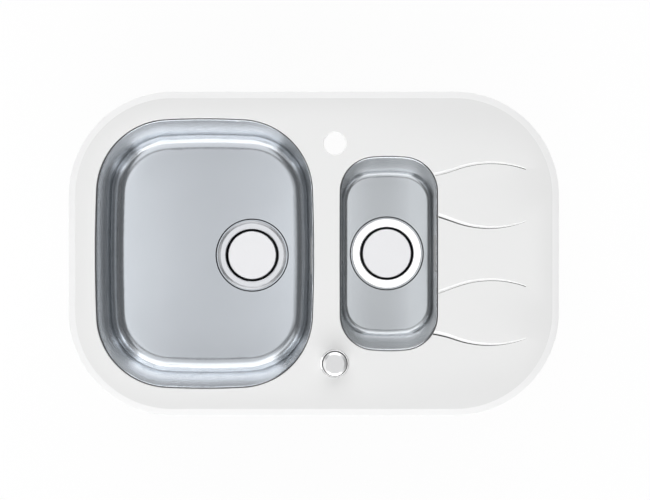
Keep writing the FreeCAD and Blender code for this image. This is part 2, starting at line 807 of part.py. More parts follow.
def pressed_bowl(bowl):
    """Bowl pressed from one sheet: flange, rolled shoulder, drafted walls, floor and waste recess."""
    cavity = new_body(bowl.name + "_cavity")
    drawn = bowl.add_shell(cavity, NOTHING, flange_top, bowl.floor_top)
    doc.recompute()
    dress(cavity, "Fillet", drawn, edges_at(drawn.Shape, bowl.floor_top), bowl.floor_radius, "Radius")

    body = new_body(bowl.name + "_bowl")
    underside = bowl.floor_top - s.bowl_sheet
    drawn = bowl.add_shell(body, s.bowl_sheet, flange_top, underside)
    doc.recompute()
    dress(body, "Fillet", drawn, edges_at(drawn.Shape, underside), bowl.floor_radius + s.bowl_sheet, "Radius")
    flange_bottom = flange_top - s.bowl_sheet
    flange = barrel(sketch_on(body, "XY_Plane", z=flange_bottom), bowl.cut.grown(s.flange_reach))
    plate = pad(body, flange, s.bowl_sheet)
    doc.recompute()
    reach = bowl.cut.half_x + s.flange_reach / 2
    under = edges_at(plate.Shape, flange_bottom, lambda edge: edge.BoundBox.XMax < reach.value)
    under = [name for name in under if inside(plate.Shape, name, bowl.cut)]
    outer_radius = s.shoulder_radius - s.bowl_sheet
    dress(body, "Fillet", plate, under, outer_radius, "Radius")

    dish = recess_radius
    dish_under = bowl.floor_top - s.recess_depth - s.bowl_sheet
    waste = (bowl.waste_x, bowl.waste_y)
    low = circle(sketch_on(body, "XY_Plane", x=waste[0], y=waste[1], z=dish_under), dish - s.recess_slope
                 + s.bowl_sheet)
    high = circle(sketch_on(body, "XY_Plane", x=waste[0], y=waste[1], z=underside), dish + s.bowl_sheet)
    loft(body, low, high)
    doc.recompute()
    hollow = body.newObject("PartDesign::Boolean", "hollow")
    hollow.Type = "Cut"
    hollow.setObjects([cavity])
    doc.recompute()
    mouth = [name for name in edges_at(hollow.Shape, flange_top) if inside(hollow.Shape, name, bowl.cut)]
    dress(body, "Fillet", hollow, mouth, s.shoulder_radius, "Radius")
    low = circle(sketch_on(body, "XY_Plane", x=waste[0], y=waste[1], z=bowl.floor_top - s.recess_depth),
                 dish - s.recess_slope)
    high = circle(sketch_on(body, "XY_Plane", x=waste[0], y=waste[1], z=bowl.floor_top), dish)
    recess = body.newObject("PartDesign::SubtractiveLoft", "recess")
    recess.Profile = high
    recess.Sections = [low]
    recess.Ruled = True
    drain = circle(sketch_on(body, "XY_Plane", x=waste[0], y=waste[1], z=bowl.floor_top), waste_hole_radius)
    pocket(body, drain, s.recess_depth + s.bowl_sheet + s.overrun)
    outer_x = bowl.opening.half_x + s.bowl_sheet + s.overrun
    slot = sketch_on(body, "YZ_Plane", x=bowl.waste_y, y=flange_top - s.slot_depth, z=outer_x)
    rounded_rectangle(slot, s.slot_length / 2, s.slot_height / 2, s.slot_corner)
    pocket(body, slot, bowl.draw_side + s.bowl_sheet + 2 * s.overrun)
    keep(bowl.name + "_bowl", place(body, x=bowl.x))


def inside(shape, name, outline):
    """Whether an edge lies within an outline's half sizes, so not on the flange's outer edge."""
    box = shape.getElement(name).BoundBox
    wide = max(abs(box.XMin), abs(box.XMax)) < outline.half_x.value
    return wide and max(abs(box.YMin), abs(box.YMax)) < outline.half_y.value


def box_solid(name, bowl, x_low, x_high, half_y, z_low, z_high):
    """Block between two X places and two heights, its middle in line with the waste of a bowl."""
    item = doc.addObject("Part::Box", name)
    for prop, size in (("Length", x_high - x_low), ("Width", 2 * half_y), ("Height", z_high - z_low)):
        item.setExpression(prop, size.text)
    return place(item, x=x_low, y=bowl.waste_y - half_y, z=z_low)


def wall_solid(bowl, by):
    """Solid out to the right wall moved outwards by a distance, around the overflow's height."""
    body = new_body(bowl.name + "_wall")
    bowl.add_shell(body, by, flange_top, bowl.floor_top)
    return body


def cut(name, base, tool):
    item = doc.addObject("Part::Cut", name)
    item.Base = base
    item.Tool = tool
    return item


def common(name, base, tool):
    item = doc.addObject("Part::Common", name)
    item.Base = base
    item.Tool = tool
    return item


def slot_tool(bowl, length, height, corner):
    """Bar with the section of an overflow slot, through the right wall."""
    body = new_body(bowl.name + "_slot")
    middle = flange_top - s.slot_depth
    start = bowl.opening.half_x + s.trap_reach / 2
    sketch = sketch_on(body, "YZ_Plane", x=bowl.waste_y, y=middle, z=start)
    rounded_rectangle(sketch, length / 2, height / 2, corner)
    item = pad(body, sketch, s.trap_reach + s.overrun)
    item.Reversed = True
    return body


def overflow(bowl):
    """Overflow of one bowl: a bezel inside, a gasket and a moulded trap outside, and its pipe."""
    middle = flange_top - s.slot_depth
    wall = bowl.wall_x(middle)
    name = bowl.name + "_overflow"

    half_y = s.slot_length / 2 + s.bezel_margin
    half_z = s.slot_height / 2 + s.bezel_margin
    span = (wall - s.trap_reach, wall + s.trap_reach, half_y, middle - half_z, middle + half_z)
    block = box_solid(name + "_bezel_block", bowl, *span)
    skin = common(name + "_bezel_skin", block, wall_solid(bowl, -s.fit_gap))
    shell = cut(name + "_bezel", skin, wall_solid(bowl, -s.fit_gap - s.bezel_sheet))
    tool = slot_tool(bowl, s.slot_length - s.bezel_margin, s.bezel_slot_height, s.bezel_slot_corner)
    keep(name + "_cover", move(cut(name + "_cover", shell, tool), bowl.x))

    half_y = s.trap_length / 2
    half_z = s.trap_height / 2
    span = (wall - s.trap_reach, wall + s.trap_reach, half_y, middle - half_z, middle + half_z)
    block = box_solid(name + "_gasket_block", bowl, *span)
    inner = s.bowl_sheet + s.fit_gap
    skin = common(name + "_gasket_skin", block, wall_solid(bowl, inner + s.gasket_thickness))
    shell = cut(name + "_gasket_ring", skin, wall_solid(bowl, inner))
    tool = slot_tool(bowl, s.slot_length, s.slot_height, s.slot_corner)
    keep(name + "_gasket", move(cut(name + "_gasket", shell, tool), bowl.x))

    face = wall + s.bowl_sheet + s.gasket_thickness
    back = face + s.trap_reach
    span = (wall - s.trap_reach, back, half_y, middle - half_z, middle + half_z)
    block = box_solid(name + "_trap_block", bowl, *span)
    moulding = cut(name + "_trap_moulding", block, wall_solid(bowl, inner + s.gasket_thickness + s.fit_gap))
    spout_x = face + s.trap_reach / 2
    spout_end = middle - half_z - s.spout_length
    spout = cylinder(name + "_spout", s.spout_radius, spout_x, bowl.waste_y, spout_end, middle)
    joined = doc.addObject("Part::Fuse", name + "_joined")
    joined.Base = moulding
    joined.Tool = spout
    span = (wall - s.trap_reach, back - s.trap_wall, half_y - s.trap_wall, middle - half_z + s.trap_wall,
            middle + half_z - s.trap_wall)
    hollow = cut(name + "_hollow", joined, box_solid(name + "_chamber", bowl, *span))
    bore = cylinder(name + "_bore", s.spout_radius - s.spout_wall, spout_x, bowl.waste_y,
                    spout_end - s.overrun, middle)
    keep(name + "_body", move(cut(name + "_body", hollow, bore), bowl.x))

    pipe_top = spout_end + s.pipe_overlap
    level = bowl.floor_top + spigot_level()
    spigot_end = bowl.waste_x + spigot_reach()
    pipe = new_body(name + "_pipe")
    spine = sketch_on(pipe, "XZ_Plane")
    bend = s.pipe_bend
    drop = add_line(spine, (spout_x, pipe_top), (spout_x, level + bend))
    elbow = add_arc(spine, (spout_x - bend).value, (level + bend).value, bend.value, -math.pi / 2, 0)
    run = add_line(spine, (spout_x - bend, level), (spigot_end - s.pipe_overlap, level))
    spine.addConstraint(Sketcher.Constraint("Tangent", drop, 2, elbow, 2))
    spine.addConstraint(Sketcher.Constraint("Tangent", elbow, 1, run, 1))
    spine.addConstraint(Sketcher.Constraint("Vertical", drop))
    hold_point(spine, drop, 1, spout_x, pipe_top)
    hold(spine, "Radius", elbow, size=bend)
    hold_point(spine, run, 2, spigot_end - s.pipe_overlap, level)
    spine.addConstraint(Sketcher.Constraint("Horizontal", run))
    bore = s.spout_radius + s.pipe_gap
    section = sketch_on(pipe, "XY_Plane", x=spout_x, z=pipe_top)
    circle(section, bore + s.pipe_wall)
    circle(section, bore)
    doc.recompute()
    swept = pipe.newObject("PartDesign::AdditivePipe", name + "_sweep")
    swept.Profile = section
    swept.Spine = (spine, ["Edge1", "Edge2", "Edge3"])
    keep(name + "_pipe", place(pipe, x=bowl.x, y=bowl.waste_y))


def move(item, x):
    """Shifts a finished boolean along X by a bound distance."""
    item.Placement = Placement(Vector(x.value, 0, 0), Rotation())
    item.setExpression("Placement.Base.x", x.text)
    return item


def cylinder(name, radius, x, y, bottom, top):
    item = doc.addObject("Part::Cylinder", name)
    item.setExpression("Radius", radius.text)
    item.setExpression("Height", (top - bottom).text)
    return place(item, x=x, y=y, z=bottom)


def spigot_reach():
    """How far the overflow spigot of a waste body reaches from its axis."""
    return body_bore_radius + s.body_wall + s.spout_length


def sound_pads(bowl, length, width):
    """Two damping pads bonded under the floor, in front of and behind the waste."""
    body = new_body(bowl.name + "_sound_pads")
    top = bowl.floor_top - s.bowl_sheet
    sketch = sketch_on(body, "XY_Plane", z=top - s.pad_thickness)
    near = recess_radius + s.pad_gap
    for side in (1, -1):
        low = side * near + bowl.waste_y
        high = side * (near + width) + bowl.waste_y
        polygon(sketch, [(-length / 2, low), (length / 2, low), (length / 2, high), (-length / 2, high)])
    pad(body, sketch, s.pad_thickness)
    keep(bowl.name + "_sound_pads", place(body, x=bowl.x))


class Waste:
    """Heights and radii that the pieces of a basket waste share, from the bowl floor at zero."""

    def __init__(self):
        self.recess = -s.recess_depth
        self.flange_under = self.recess + s.seal_thickness
        self.flange_top = self.flange_under + s.flange_sheet
        self.cup_radius = s.cup_diameter / 2
        self.cup_low_radius = self.cup_radius - s.cup_taper
        self.ledge = -s.cup_depth
        self.seat_radius = self.cup_low_radius - s.ledge_width
        self.plate_top = self.ledge - s.seat_drop
        self.plate_under = self.plate_top - s.flange_sheet
        self.seal_top = self.recess - s.bowl_sheet
        self.body_top = self.seal_top - s.under_seal_thickness
        self.body_outer = body_bore_radius + s.body_wall
        self.cone_top = self.body_top - s.body_height
        self.cone_bottom = self.cone_top - s.body_cone
        self.tail_radius = s.tail_bore / 2 + s.tail_wall
        self.tail_end = self.cone_bottom - s.tail_length
        self.boss_top = self.plate_under - s.seat_gap
        self.cover_radius = self.cup_radius - s.cover_gap
        self.basket_under = self.ledge + s.basket_clear
        self.plug_radius = self.seat_radius - s.plug_gap
        self.hub_radius = self.plug_radius - s.plug_width
        self.pin_top = self.basket_under - s.seat_gap
        self.lever_level = self.cone_bottom - s.lever_below


W = Waste()


def waste_flange(name):
    """Stainless strainer cup: flat flange, rolled mouth, tapered cup, plug seat and drain holes."""
    body = new_body(name)
    outer = s.flange_diameter / 2
    sheet_size = s.flange_sheet
    bore = s.screw_diameter / 2 + s.seat_gap
    roll = W.flange_top - W.recess
    mouth = W.flange_top - roll
    seat_low = W.seat_radius - s.seat_drop
    revolve(body, [
        (bore, W.plate_under),
        (seat_low, W.plate_under),
        (W.seat_radius, W.ledge - sheet_size),
        (W.cup_low_radius + sheet_size, W.ledge - sheet_size),
        (W.cup_radius + sheet_size, mouth - sheet_size / 2),
        (W.cup_radius + roll + sheet_size / 2, W.flange_under),
        (outer, W.flange_under),
        (outer, W.flange_top),
        (outer - s.flange_bevel, W.flange_top + s.flange_crown),
        (W.cup_radius + roll, W.flange_top),
        (W.cup_radius, mouth),
        (W.cup_low_radius, W.ledge),
        (W.seat_radius, W.ledge),
        (seat_low, W.plate_top),
        (bore, W.plate_top),
    ])
    middle = (bore + seat_low) / 2
    drain = pocket_through(body, circle(sketch_on(body, "XY_Plane"), s.drain_diameter / 2, middle))
    doc.recompute()
    polar(body, drain, s.drain_count)
    return body


def waste_body(name, popup):
    """Moulded lower body: rim, funnel, neck, tail, centre boss on ribs and an overflow spigot."""
    body = new_body(name)
    bore = body_bore_radius
    tail_bore = s.tail_bore / 2
    neck = tail_bore + s.neck_wall
    rim = bore + s.body_rim_width
    revolve(body, [
        (tail_bore, W.tail_end),
        (W.tail_radius, W.tail_end),
        (W.tail_radius, W.cone_bottom - s.neck_length),
        (neck, W.cone_bottom - s.neck_length),
        (neck, W.cone_bottom - s.body_wall),
        (W.body_outer, W.cone_top - s.body_wall),
        (W.body_outer, W.body_top - s.body_wall),
        (rim, W.body_top - s.body_wall),
        (rim, W.body_top),
        (bore, W.body_top),
        (bore, W.cone_top),
        (tail_bore, W.cone_bottom),
    ])
    level = spigot_level()
    spigot = sketch_on(body, "YZ_Plane", y=level, z=bore + s.body_wall / 2)
    circle(spigot, s.spout_radius)
    pad(body, spigot, spigot_reach() - bore - s.body_wall / 2)
    if popup:
        sleeve = sketch_on(body, "XZ_Plane", y=W.lever_level, z=s.sleeve_reach)
        circle(sleeve, s.sleeve_radius)
        item = pad(body, sleeve, s.sleeve_reach - tail_bore - s.tail_wall / 2)
        item.Reversed = True
    ends = []
    for share in RIB_SHARES:
        height = W.cone_top - share * s.body_cone
        ends.append((bore + s.body_wall / 2 - share * (bore - tail_bore), height))
    boss = s.boss_diameter / 2
    high, low = ends
    rib = polygon(sketch_on(body, "XZ_Plane"), [(boss / 2, high[1]), high, low, (boss / 2, low[1])])
    doc.recompute()
    webs = pad(body, rib, s.rib_thickness, both_ways=True)
    doc.recompute()
    polar(body, webs, s.rib_count)
    pad(body, circle(sketch_on(body, "XY_Plane", z=W.boss_top - s.boss_height), boss), s.boss_height)
    hole = circle(sketch_on(body, "XY_Plane", z=W.boss_top), s.screw_diameter / 2 + s.fit_gap)
    pocket(body, hole, s.boss_height + s.overrun)
    mouth = sketch_on(body, "YZ_Plane", y=level, z=spigot_reach())
    circle(mouth, s.spout_radius - s.spout_wall)
    pocket(body, mouth, s.spout_length + s.body_wall + s.overrun)
    if popup:
        tunnel = sketch_on(body, "XZ_Plane", y=W.lever_level, z=s.sleeve_reach)
        circle(tunnel, s.sleeve_radius - s.sleeve_wall)
        pocket(body, tunnel, s.sleeve_reach - tail_bore + s.overrun)
        pivot = sketch_on(body, "YZ_Plane", x=-s.lever_arm, y=W.lever_level)
        circle(pivot, s.axle_radius + s.run_gap)
        pocket(body, pivot, 2 * s.sleeve_radius + s.overrun, both_ways=True)
    return body


def spigot_level():
    """Height of the overflow spigot on a waste body, just above its cone."""
    return W.cone_top + s.spout_radius + s.spout_margin


def clamp_screw(name, popup):
    """Screw that clamps the cup to the lower body, hollow where the lift pin runs through it."""
    core = s.pin_diameter / 2 + s.run_gap if popup else NOTHING
    shank = s.screw_diameter / 2
    head = s.screw_head / 2
    under = W.plate_top
    top = under + s.screw_head_height
    end = under - s.screw_length
    edge = s.screw_head_height / 3
    return turned(name, [(core, end), (shank, end), (shank, under), (head, under), (head, top - edge),
                         (head - edge, top), (core, top)])


def basket(name):
    """Strainer basket with slotted walls, a hub that holds the plug seal and a post for the cover."""
    body = new_body(name)
    sheet_size = s.basket_sheet
    rim = W.cover_radius - s.basket_inset
    wall = rim - s.basket_rim
    low = wall - s.basket_taper
    top = -s.basket_top
    floor = W.basket_under + sheet_size
    hub_bottom = W.basket_under - s.hub_height
    post_top = floor + s.post_height
    post_bore = s.stem_radius + s.stem_gap
    revolve(body, [
        (NOTHING, W.basket_under),
        (W.hub_radius - s.hub_wall, W.basket_under),
        (W.hub_radius - s.hub_wall, hub_bottom),
        (W.hub_radius, hub_bottom),
        (W.hub_radius, W.basket_under),
        (low + sheet_size, W.basket_under),
        (wall + sheet_size, top - sheet_size),
        (rim, top - sheet_size),
        (rim, top),
        (wall, top),
        (low, floor),
        (s.post_radius, floor),
        (s.post_radius, post_top),
        (post_bore, post_top),
        (post_bore, floor),
        (NOTHING, floor),
    ])
    middle = (top + floor) / 2
    cutter = sketch_on(body, "XZ_Plane")
    near, far = low - s.overrun, rim + s.overrun
    bottom = middle - s.basket_slot_height / 2
    upper = middle + s.basket_slot_height / 2
    polygon(cutter, [(near, bottom), (far, bottom), (far, upper), (near, upper)])
    slot = pocket(body, cutter, s.basket_slot_width, both_ways=True)
    doc.recompute()
    polar(body, slot, s.basket_slots)
    return body


def plug_seal(name):
    """Rubber ring under the basket, its edge parallel to the seat of the cup."""
    outer = W.plug_radius
    top = W.basket_under
    seat_line = W.seat_radius - s.seat_gap * root(as_size(2))
    inner = W.hub_radius + s.fit_gap
    shoulder = W.ledge - (seat_line - outer)
    bottom = W.basket_under - s.hub_height - s.seat_gap
    foot = seat_line + (bottom - W.ledge)
    return turned(name, [(inner, bottom), (foot, bottom), (outer, shoulder), (outer, top), (inner, top)])


def cover(name):
    """Flat polished cover with a turned-down edge and a stem that stands in the basket's post."""
    radius = W.cover_radius
    top = -s.cover_sink
    under = top - s.cover_sheet
    skirt = top - s.cover_edge
    stem_end = W.basket_under + s.basket_sheet + s.seat_gap
    return turned(name, [
        (NOTHING, stem_end),
        (s.stem_radius, stem_end),
        (s.stem_radius, under),
        (radius - s.cover_sheet, under),
        (radius - s.cover_sheet, skirt),
        (radius, skirt),
        (radius, top - s.cover_bevel),
        (radius - s.cover_bevel, top),
        (NOTHING, top),
    ])


def waste_kit(bowl, popup):
    """All pieces of the basket waste of one bowl, placed on its floor."""
    prefix = bowl.name + "_"
    recess = -s.recess_depth
    outer = s.flange_diameter / 2 - s.seat_gap
    inner = waste_hole_radius + s.fit_gap
    rim = body_bore_radius + s.body_rim_width
    kit = {
        "waste_flange": waste_flange(prefix + "waste_flange"),
        "flange_seal": ring(prefix + "flange_seal", outer - s.seal_width, outer, recess, W.flange_under),
        "under_seal": ring(prefix + "under_seal", inner, rim, W.body_top, W.seal_top),
        "waste_body": waste_body(prefix + "waste_body", popup),
        "clamp_screw": clamp_screw(prefix + "clamp_screw", popup),
        "basket": basket(prefix + "basket"),
        "plug_seal": plug_seal(prefix + "plug_seal"),
        "cover": cover(prefix + "cover"),
    }
    pieces = {prefix + name: body for name, body in kit.items()}
    if popup:
        pieces["lift_pin"] = lift_pin()
        pieces["lift_lever"] = lift_lever()
        pieces["cable_gland"] = cable_gland()
    for name, body in pieces.items():
        keep(name, place(body, x=bowl.x + bowl.waste_x, y=bowl.waste_y, z=bowl.floor_top))


def lift_pin():
    """Pin through the hollow clamp screw that carries the main basket."""
    end = W.lever_level + s.lever_height / 2 + s.seat_gap
    radius = s.pin_diameter / 2
    head = W.pin_top - s.pin_head_height
    return turned("lift_pin", [(NOTHING, end), (radius, end), (radius, head), (s.pin_head / 2, head),
                               (s.pin_head / 2, W.pin_top), (NOTHING, W.pin_top)])


def lift_lever():
    """Rocker with its axle: a long arm under the pin and a short crank for the cable."""
    body = new_body("lift_lever")
    level = W.lever_level
    half = s.lever_height / 2
    pivot = -s.lever_arm
    sketch = sketch_on(body, "YZ_Plane")
    polygon(sketch, [
        (pivot - half, level - s.crank_length),
        (pivot + half, level - s.crank_length),
        (pivot + half, level - half),
        (s.lever_tip, level - half),
        (s.lever_tip, level + half),
        (pivot - half, level + half),
    ])
    pad(body, sketch, s.lever_width, both_ways=True)
    axle = circle(sketch_on(body, "YZ_Plane", x=pivot, y=level), s.axle_radius)
    pad(body, axle, 2 * s.sleeve_radius - s.sleeve_wall, both_ways=True)
    return body


def cable_gland():
    """Plug with a nipple that closes the lever sleeve and holds the end of the cable."""
    body = new_body("cable_gland")
    start = s.sleeve_reach + s.gland_flange
    flange = sketch_on(body, "XZ_Plane", y=W.lever_level, z=start)
    circle(flange, s.sleeve_radius)
    item = pad(body, flange, s.gland_flange)
    item.Reversed = True
    spigot = sketch_on(body, "XZ_Plane", y=W.lever_level, z=start)
    circle(spigot, s.sleeve_radius - s.sleeve_wall - s.fit_gap)
    item = pad(body, spigot, s.gland_flange + s.gland_spigot)
    item.Reversed = True
    nose = sketch_on(body, "XZ_Plane", y=W.lever_level, z=start)
    circle(nose, s.gland_nose)
    pad(body, nose, s.gland_length)
    bore = sketch_on(body, "XZ_Plane", y=W.lever_level, z=start + s.gland_length)
    circle(bore, s.cable_bore)
    pocket_through(body, bore)
    return body


def knob_kit():
    """Control knob on its base: spindle and cable drum inside, nut and housing under the glass."""
    top = s.glass_thickness
    base_top = top + s.base_height
    base = s.knob_diameter / 2 + s.base_margin
    shank_end = -s.shank_length
    bearing = s.spindle_radius + s.run_gap
    pieces = {}
    pieces["knob_base"] = turned("knob_base", [
        (bearing, shank_end),
        (s.shank_radius, shank_end),
        (s.shank_radius, top),
        (base, top),
        (base, base_top - s.base_bevel),
        (base - s.base_bevel, base_top),
        (bearing, base_top),
    ])
    low = base_top + s.seat_gap
    knob_top = low + s.knob_height
    radius = s.knob_diameter / 2
    grip = low + s.spindle_seat
    pieces["control_knob"] = knob_cap(low, knob_top, radius, grip)
    drum_top = shank_end - s.seat_gap
    drum_bottom = drum_top - s.drum_height
    spindle_end = drum_bottom - s.seat_gap
    pieces["knob_spindle"] = turned("knob_spindle", [
        (NOTHING, spindle_end), (s.spindle_radius, spindle_end),
        (s.spindle_radius, grip - s.seat_gap), (NOTHING, grip - s.seat_gap)])
    pieces["knob_grub_screw"] = grub_screw(low, radius)
    notch = s.drum_radius - s.drum_groove
    core = s.spindle_radius + s.fit_gap
    third = s.drum_height / 3
    pieces["cable_drum"] = turned("cable_drum", [
        (core, drum_bottom), (s.drum_radius, drum_bottom), (s.drum_radius, drum_bottom + third),
        (notch, drum_bottom + third), (notch, drum_top - third), (s.drum_radius, drum_top - third),
        (s.drum_radius, drum_top), (core, drum_top)])
    washer_low = -s.nut_washer_thickness
    pieces["knob_washer"] = ring("knob_washer", s.shank_radius + s.seat_gap, knob_washer_radius,
                                 washer_low, NOTHING)
    pieces["knob_nut"] = knob_nut(washer_low)
    inner = s.drum_radius + s.drum_gap
    outer = inner + s.housing_wall
    housing_top = shank_end + s.housing_grip
    housing_end = housing_top - s.housing_height
    collar = s.shank_radius + s.fit_gap
    pieces["knob_housing"] = knob_housing(collar, inner, housing_top, housing_end, shank_end,
                                          (drum_top + drum_bottom) / 2)
    lid_top = housing_end + s.lid_thickness
    pieces["housing_lid"] = turned("housing_lid", [
        (NOTHING, housing_end - s.lid_thickness), (outer, housing_end - s.lid_thickness),
        (outer, housing_end), (inner - s.fit_gap, housing_end),
        (inner - s.fit_gap, lid_top), (NOTHING, lid_top)])
    for name, body in pieces.items():
        keep(name, place(body, x=tap_x, y=-tap_y))


def knob_cap(low, knob_top, radius, grip):
    """Round knob with a bevelled flat top, hollow below, with a bore for the spindle."""
    body = new_body("control_knob")
    flat = radius - s.knob_bevel_width
    bore = s.spindle_radius + s.fit_gap
    hollow = low + s.knob_cavity
    revolve(body, [
        (bore, low),
        (2 * s.spindle_radius, low),
        (2 * s.spindle_radius, hollow),
        (radius - s.knob_cavity, hollow),
        (radius - s.knob_cavity, low),
        (radius, low),
        (radius, knob_top - s.knob_bevel),
        (flat, knob_top),
        (NOTHING, knob_top),
        (NOTHING, grip),
        (bore, grip),
    ])
    level = low + s.spindle_seat / 2
    hole = sketch_on(body, "XZ_Plane", y=level, z=radius)
    circle(hole, s.grub_radius + s.fit_gap)
    pocket(body, hole, radius)
    return body


def grub_screw(low, radius):
    """Set screw that holds the knob on its spindle, in the front of the knob."""
    body = new_body("knob_grub_screw")
    level = low + s.spindle_seat / 2
    tip = s.spindle_radius + s.fit_gap
    start = sketch_on(body, "XZ_Plane", y=level, z=radius - s.grub_radius)
    circle(start, s.grub_radius)
    item = pad(body, start, radius - s.grub_radius - tip)
    item.Reversed = True
    return body


def knob_nut(top):
    """Hexagonal plastic nut on the shank of the knob base."""
    corner = 2 * (s.shank_radius + s.nut_wall) / root(as_size(3))
    blank = doc.addObject("Part::Prism", "knob_nut_blank")
    blank.Polygon = HEX_SIDES
    blank.setExpression("Circumradius", corner.text)
    blank.setExpression("Height", s.nut_height.text)
    place(blank, z=top - s.nut_height)
    bore = cylinder("knob_nut_bore", s.shank_radius + s.fit_gap, NOTHING, NOTHING,
                    top - s.nut_height - s.overrun, top + s.overrun)
    return cut("knob_nut", blank, bore)


def knob_housing(collar, inner, top, bottom, shank_end, outlet):
    """Cable box clipped on the shank, with a nipple for the cable on its left side."""
    body = new_body("knob_housing")
    radius = inner + s.housing_wall
    cavity = shank_end
    revolve(body, [(inner, bottom), (radius, bottom), (radius, top), (collar, top), (collar, cavity),
                   (inner, cavity)])
    reach = radius + s.gland_length / 2
    nipple = sketch_on(body, "YZ_Plane", y=outlet, z=-reach)
    circle(nipple, s.gland_nose)
    pad(body, nipple, reach - (radius + inner) / 2)
    bore = sketch_on(body, "YZ_Plane", y=outlet, z=-reach)
    circle(bore, s.cable_bore)
    item = pocket(body, bore, reach - inner + s.overrun)
    item.Reversed = True
    return body


# The studs stand midway between the bowl flanges and the lip of the tray.
lip_inner = half_depth_of_glass - s.tray_inset - s.tray_sheet
flange_outer = half_depth_of_glass - s.main_end_margin + s.flange_reach
stud_y = (lip_inner + flange_outer) / 2
stud_foot_radius = (lip_inner - flange_outer) / 2 - s.foot_gap
lip_bottom = tray_top - s.tray_lip
claw_top = lip_bottom - s.clip_drop - s.claw_tip_height - s.nut_travel
claw_bottom = claw_top - s.claw_thickness
wing_top = claw_bottom - s.seat_gap


def clip_places():
    """Stud places in the plan, the back row first, with the side that each claw swings to."""
    return [(share * half_length, side * stud_y, side) for side in (1, -1) for share in CLIP_SHARES]


def clip_studs():
    """Six weld studs under the tray."""
    body = new_body("clip_studs")
    feet = sketch_on(body, "XY_Plane", z=flange_top - s.stud_foot)
    rods = sketch_on(body, "XY_Plane", z=flange_top - s.stud_length)
    for x, y, _ in clip_places():
        circle(feet, stud_foot_radius, x, y)
        circle(rods, s.stud_radius, x, y)
    pad(body, feet, s.stud_foot)
    pad(body, rods, s.stud_length - s.stud_foot)
    keep("clip_studs", body)


def wing_nut(number, x, y):
    """Wing nut that climbs a stud and pushes its claw up."""
    body = new_body("wing_nut")
    bore = s.stud_radius + s.thread_gap
    low = wing_top - s.wing_height
    revolve(body, [(bore, low), (s.wing_hub, low), (s.wing_hub * 3 / 4, wing_top), (bore, wing_top)])
    wings = sketch_on(body, "XZ_Plane")
    middle = low + s.wing_height / 2
    for side in (1, -1):
        near = side * (bore + s.wing_thickness / 2)
        tip = side * s.wing_span / 2
        polygon(wings, [(near, low), (tip, low - s.wing_thickness), (tip, middle), (near, wing_top)])
    pad(body, wings, s.wing_thickness, both_ways=True)
    keep(f"wing_nut_{number}", place(body, x=x, y=y))


def clip_claw(number, x, y):
    """Claw on a stud, parked along the edge, with a turned-up tip that bites the worktop."""
    body = new_body("clip_claw")
    half = s.claw_width / 2
    strip = sketch_on(body, "XY_Plane", z=claw_bottom)
    polygon(strip, [(-half, -half), (s.claw_reach, -half / 2), (s.claw_reach, half / 2), (-half, half)])
    circle(strip, s.stud_radius + s.thread_gap)
    pad(body, strip, s.claw_thickness)
    tip = sketch_on(body, "XY_Plane", z=claw_bottom)
    start = s.claw_reach - s.claw_tip_length
    polygon(tip, [(start, -half / 2), (s.claw_reach, -half / 2), (s.claw_reach, half / 2), (start, half / 2)])
    pad(body, tip, s.claw_thickness + s.claw_tip_height)
    keep(f"clip_claw_{number}", place(body, x=x, y=y))


glass_top()
rim_seal()
carrier_tray()
bead("main_bead", MAIN_CUT, main_x)
bead("half_bead", HALF_CUT, half_x)
for bowl, popup in ((MAIN, True), (HALF, False)):
    pressed_bowl(bowl)
    overflow(bowl)
    waste_kit(bowl, popup)
sound_pads(MAIN, s.main_pad_length, s.main_pad_width)
sound_pads(HALF, s.half_pad_length, s.half_pad_width)
knob_kit()
clip_studs()
for number, (x, y, side) in enumerate(clip_places(), start=1):
    wing_nut(number, x, y)
    clip_claw(number, x, y)

doc.recompute()
faults = [item.Name for item in doc.Objects if {"Invalid", "Error"} & set(item.State)]
for label, item in PARTS.items():
    if item.Shape.isNull() or not item.Shape.isValid() or not item.Shape.Solids:
        faults.append(label)
if faults:
    raise RuntimeError("These objects failed: " + ", ".join(faults))

os.makedirs("parts", exist_ok=True)
for label, item in PARTS.items():
    item.Shape.exportStep(f"parts/{label}.step")
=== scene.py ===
import math

import bmesh
import bpy
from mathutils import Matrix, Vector


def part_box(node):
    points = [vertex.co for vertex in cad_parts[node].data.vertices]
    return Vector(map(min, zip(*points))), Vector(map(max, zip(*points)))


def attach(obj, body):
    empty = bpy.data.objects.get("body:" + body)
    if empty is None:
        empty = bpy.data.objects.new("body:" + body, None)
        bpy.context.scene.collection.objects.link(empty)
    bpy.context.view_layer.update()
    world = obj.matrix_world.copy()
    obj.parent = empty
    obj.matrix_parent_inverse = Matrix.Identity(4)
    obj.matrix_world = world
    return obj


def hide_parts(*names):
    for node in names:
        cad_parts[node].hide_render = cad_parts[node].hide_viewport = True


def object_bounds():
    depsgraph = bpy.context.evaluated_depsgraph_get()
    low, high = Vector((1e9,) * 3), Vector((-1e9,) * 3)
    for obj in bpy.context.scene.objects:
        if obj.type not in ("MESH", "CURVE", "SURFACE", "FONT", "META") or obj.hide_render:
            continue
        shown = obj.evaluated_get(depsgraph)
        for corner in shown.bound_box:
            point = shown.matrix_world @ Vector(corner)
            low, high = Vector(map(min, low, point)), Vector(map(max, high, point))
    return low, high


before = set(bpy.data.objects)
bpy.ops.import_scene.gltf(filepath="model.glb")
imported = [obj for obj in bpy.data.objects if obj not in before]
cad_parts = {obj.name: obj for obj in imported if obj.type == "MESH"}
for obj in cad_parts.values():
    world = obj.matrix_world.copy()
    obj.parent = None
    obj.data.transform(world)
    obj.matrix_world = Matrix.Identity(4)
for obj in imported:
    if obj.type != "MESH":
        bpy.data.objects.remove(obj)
cad_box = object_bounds()

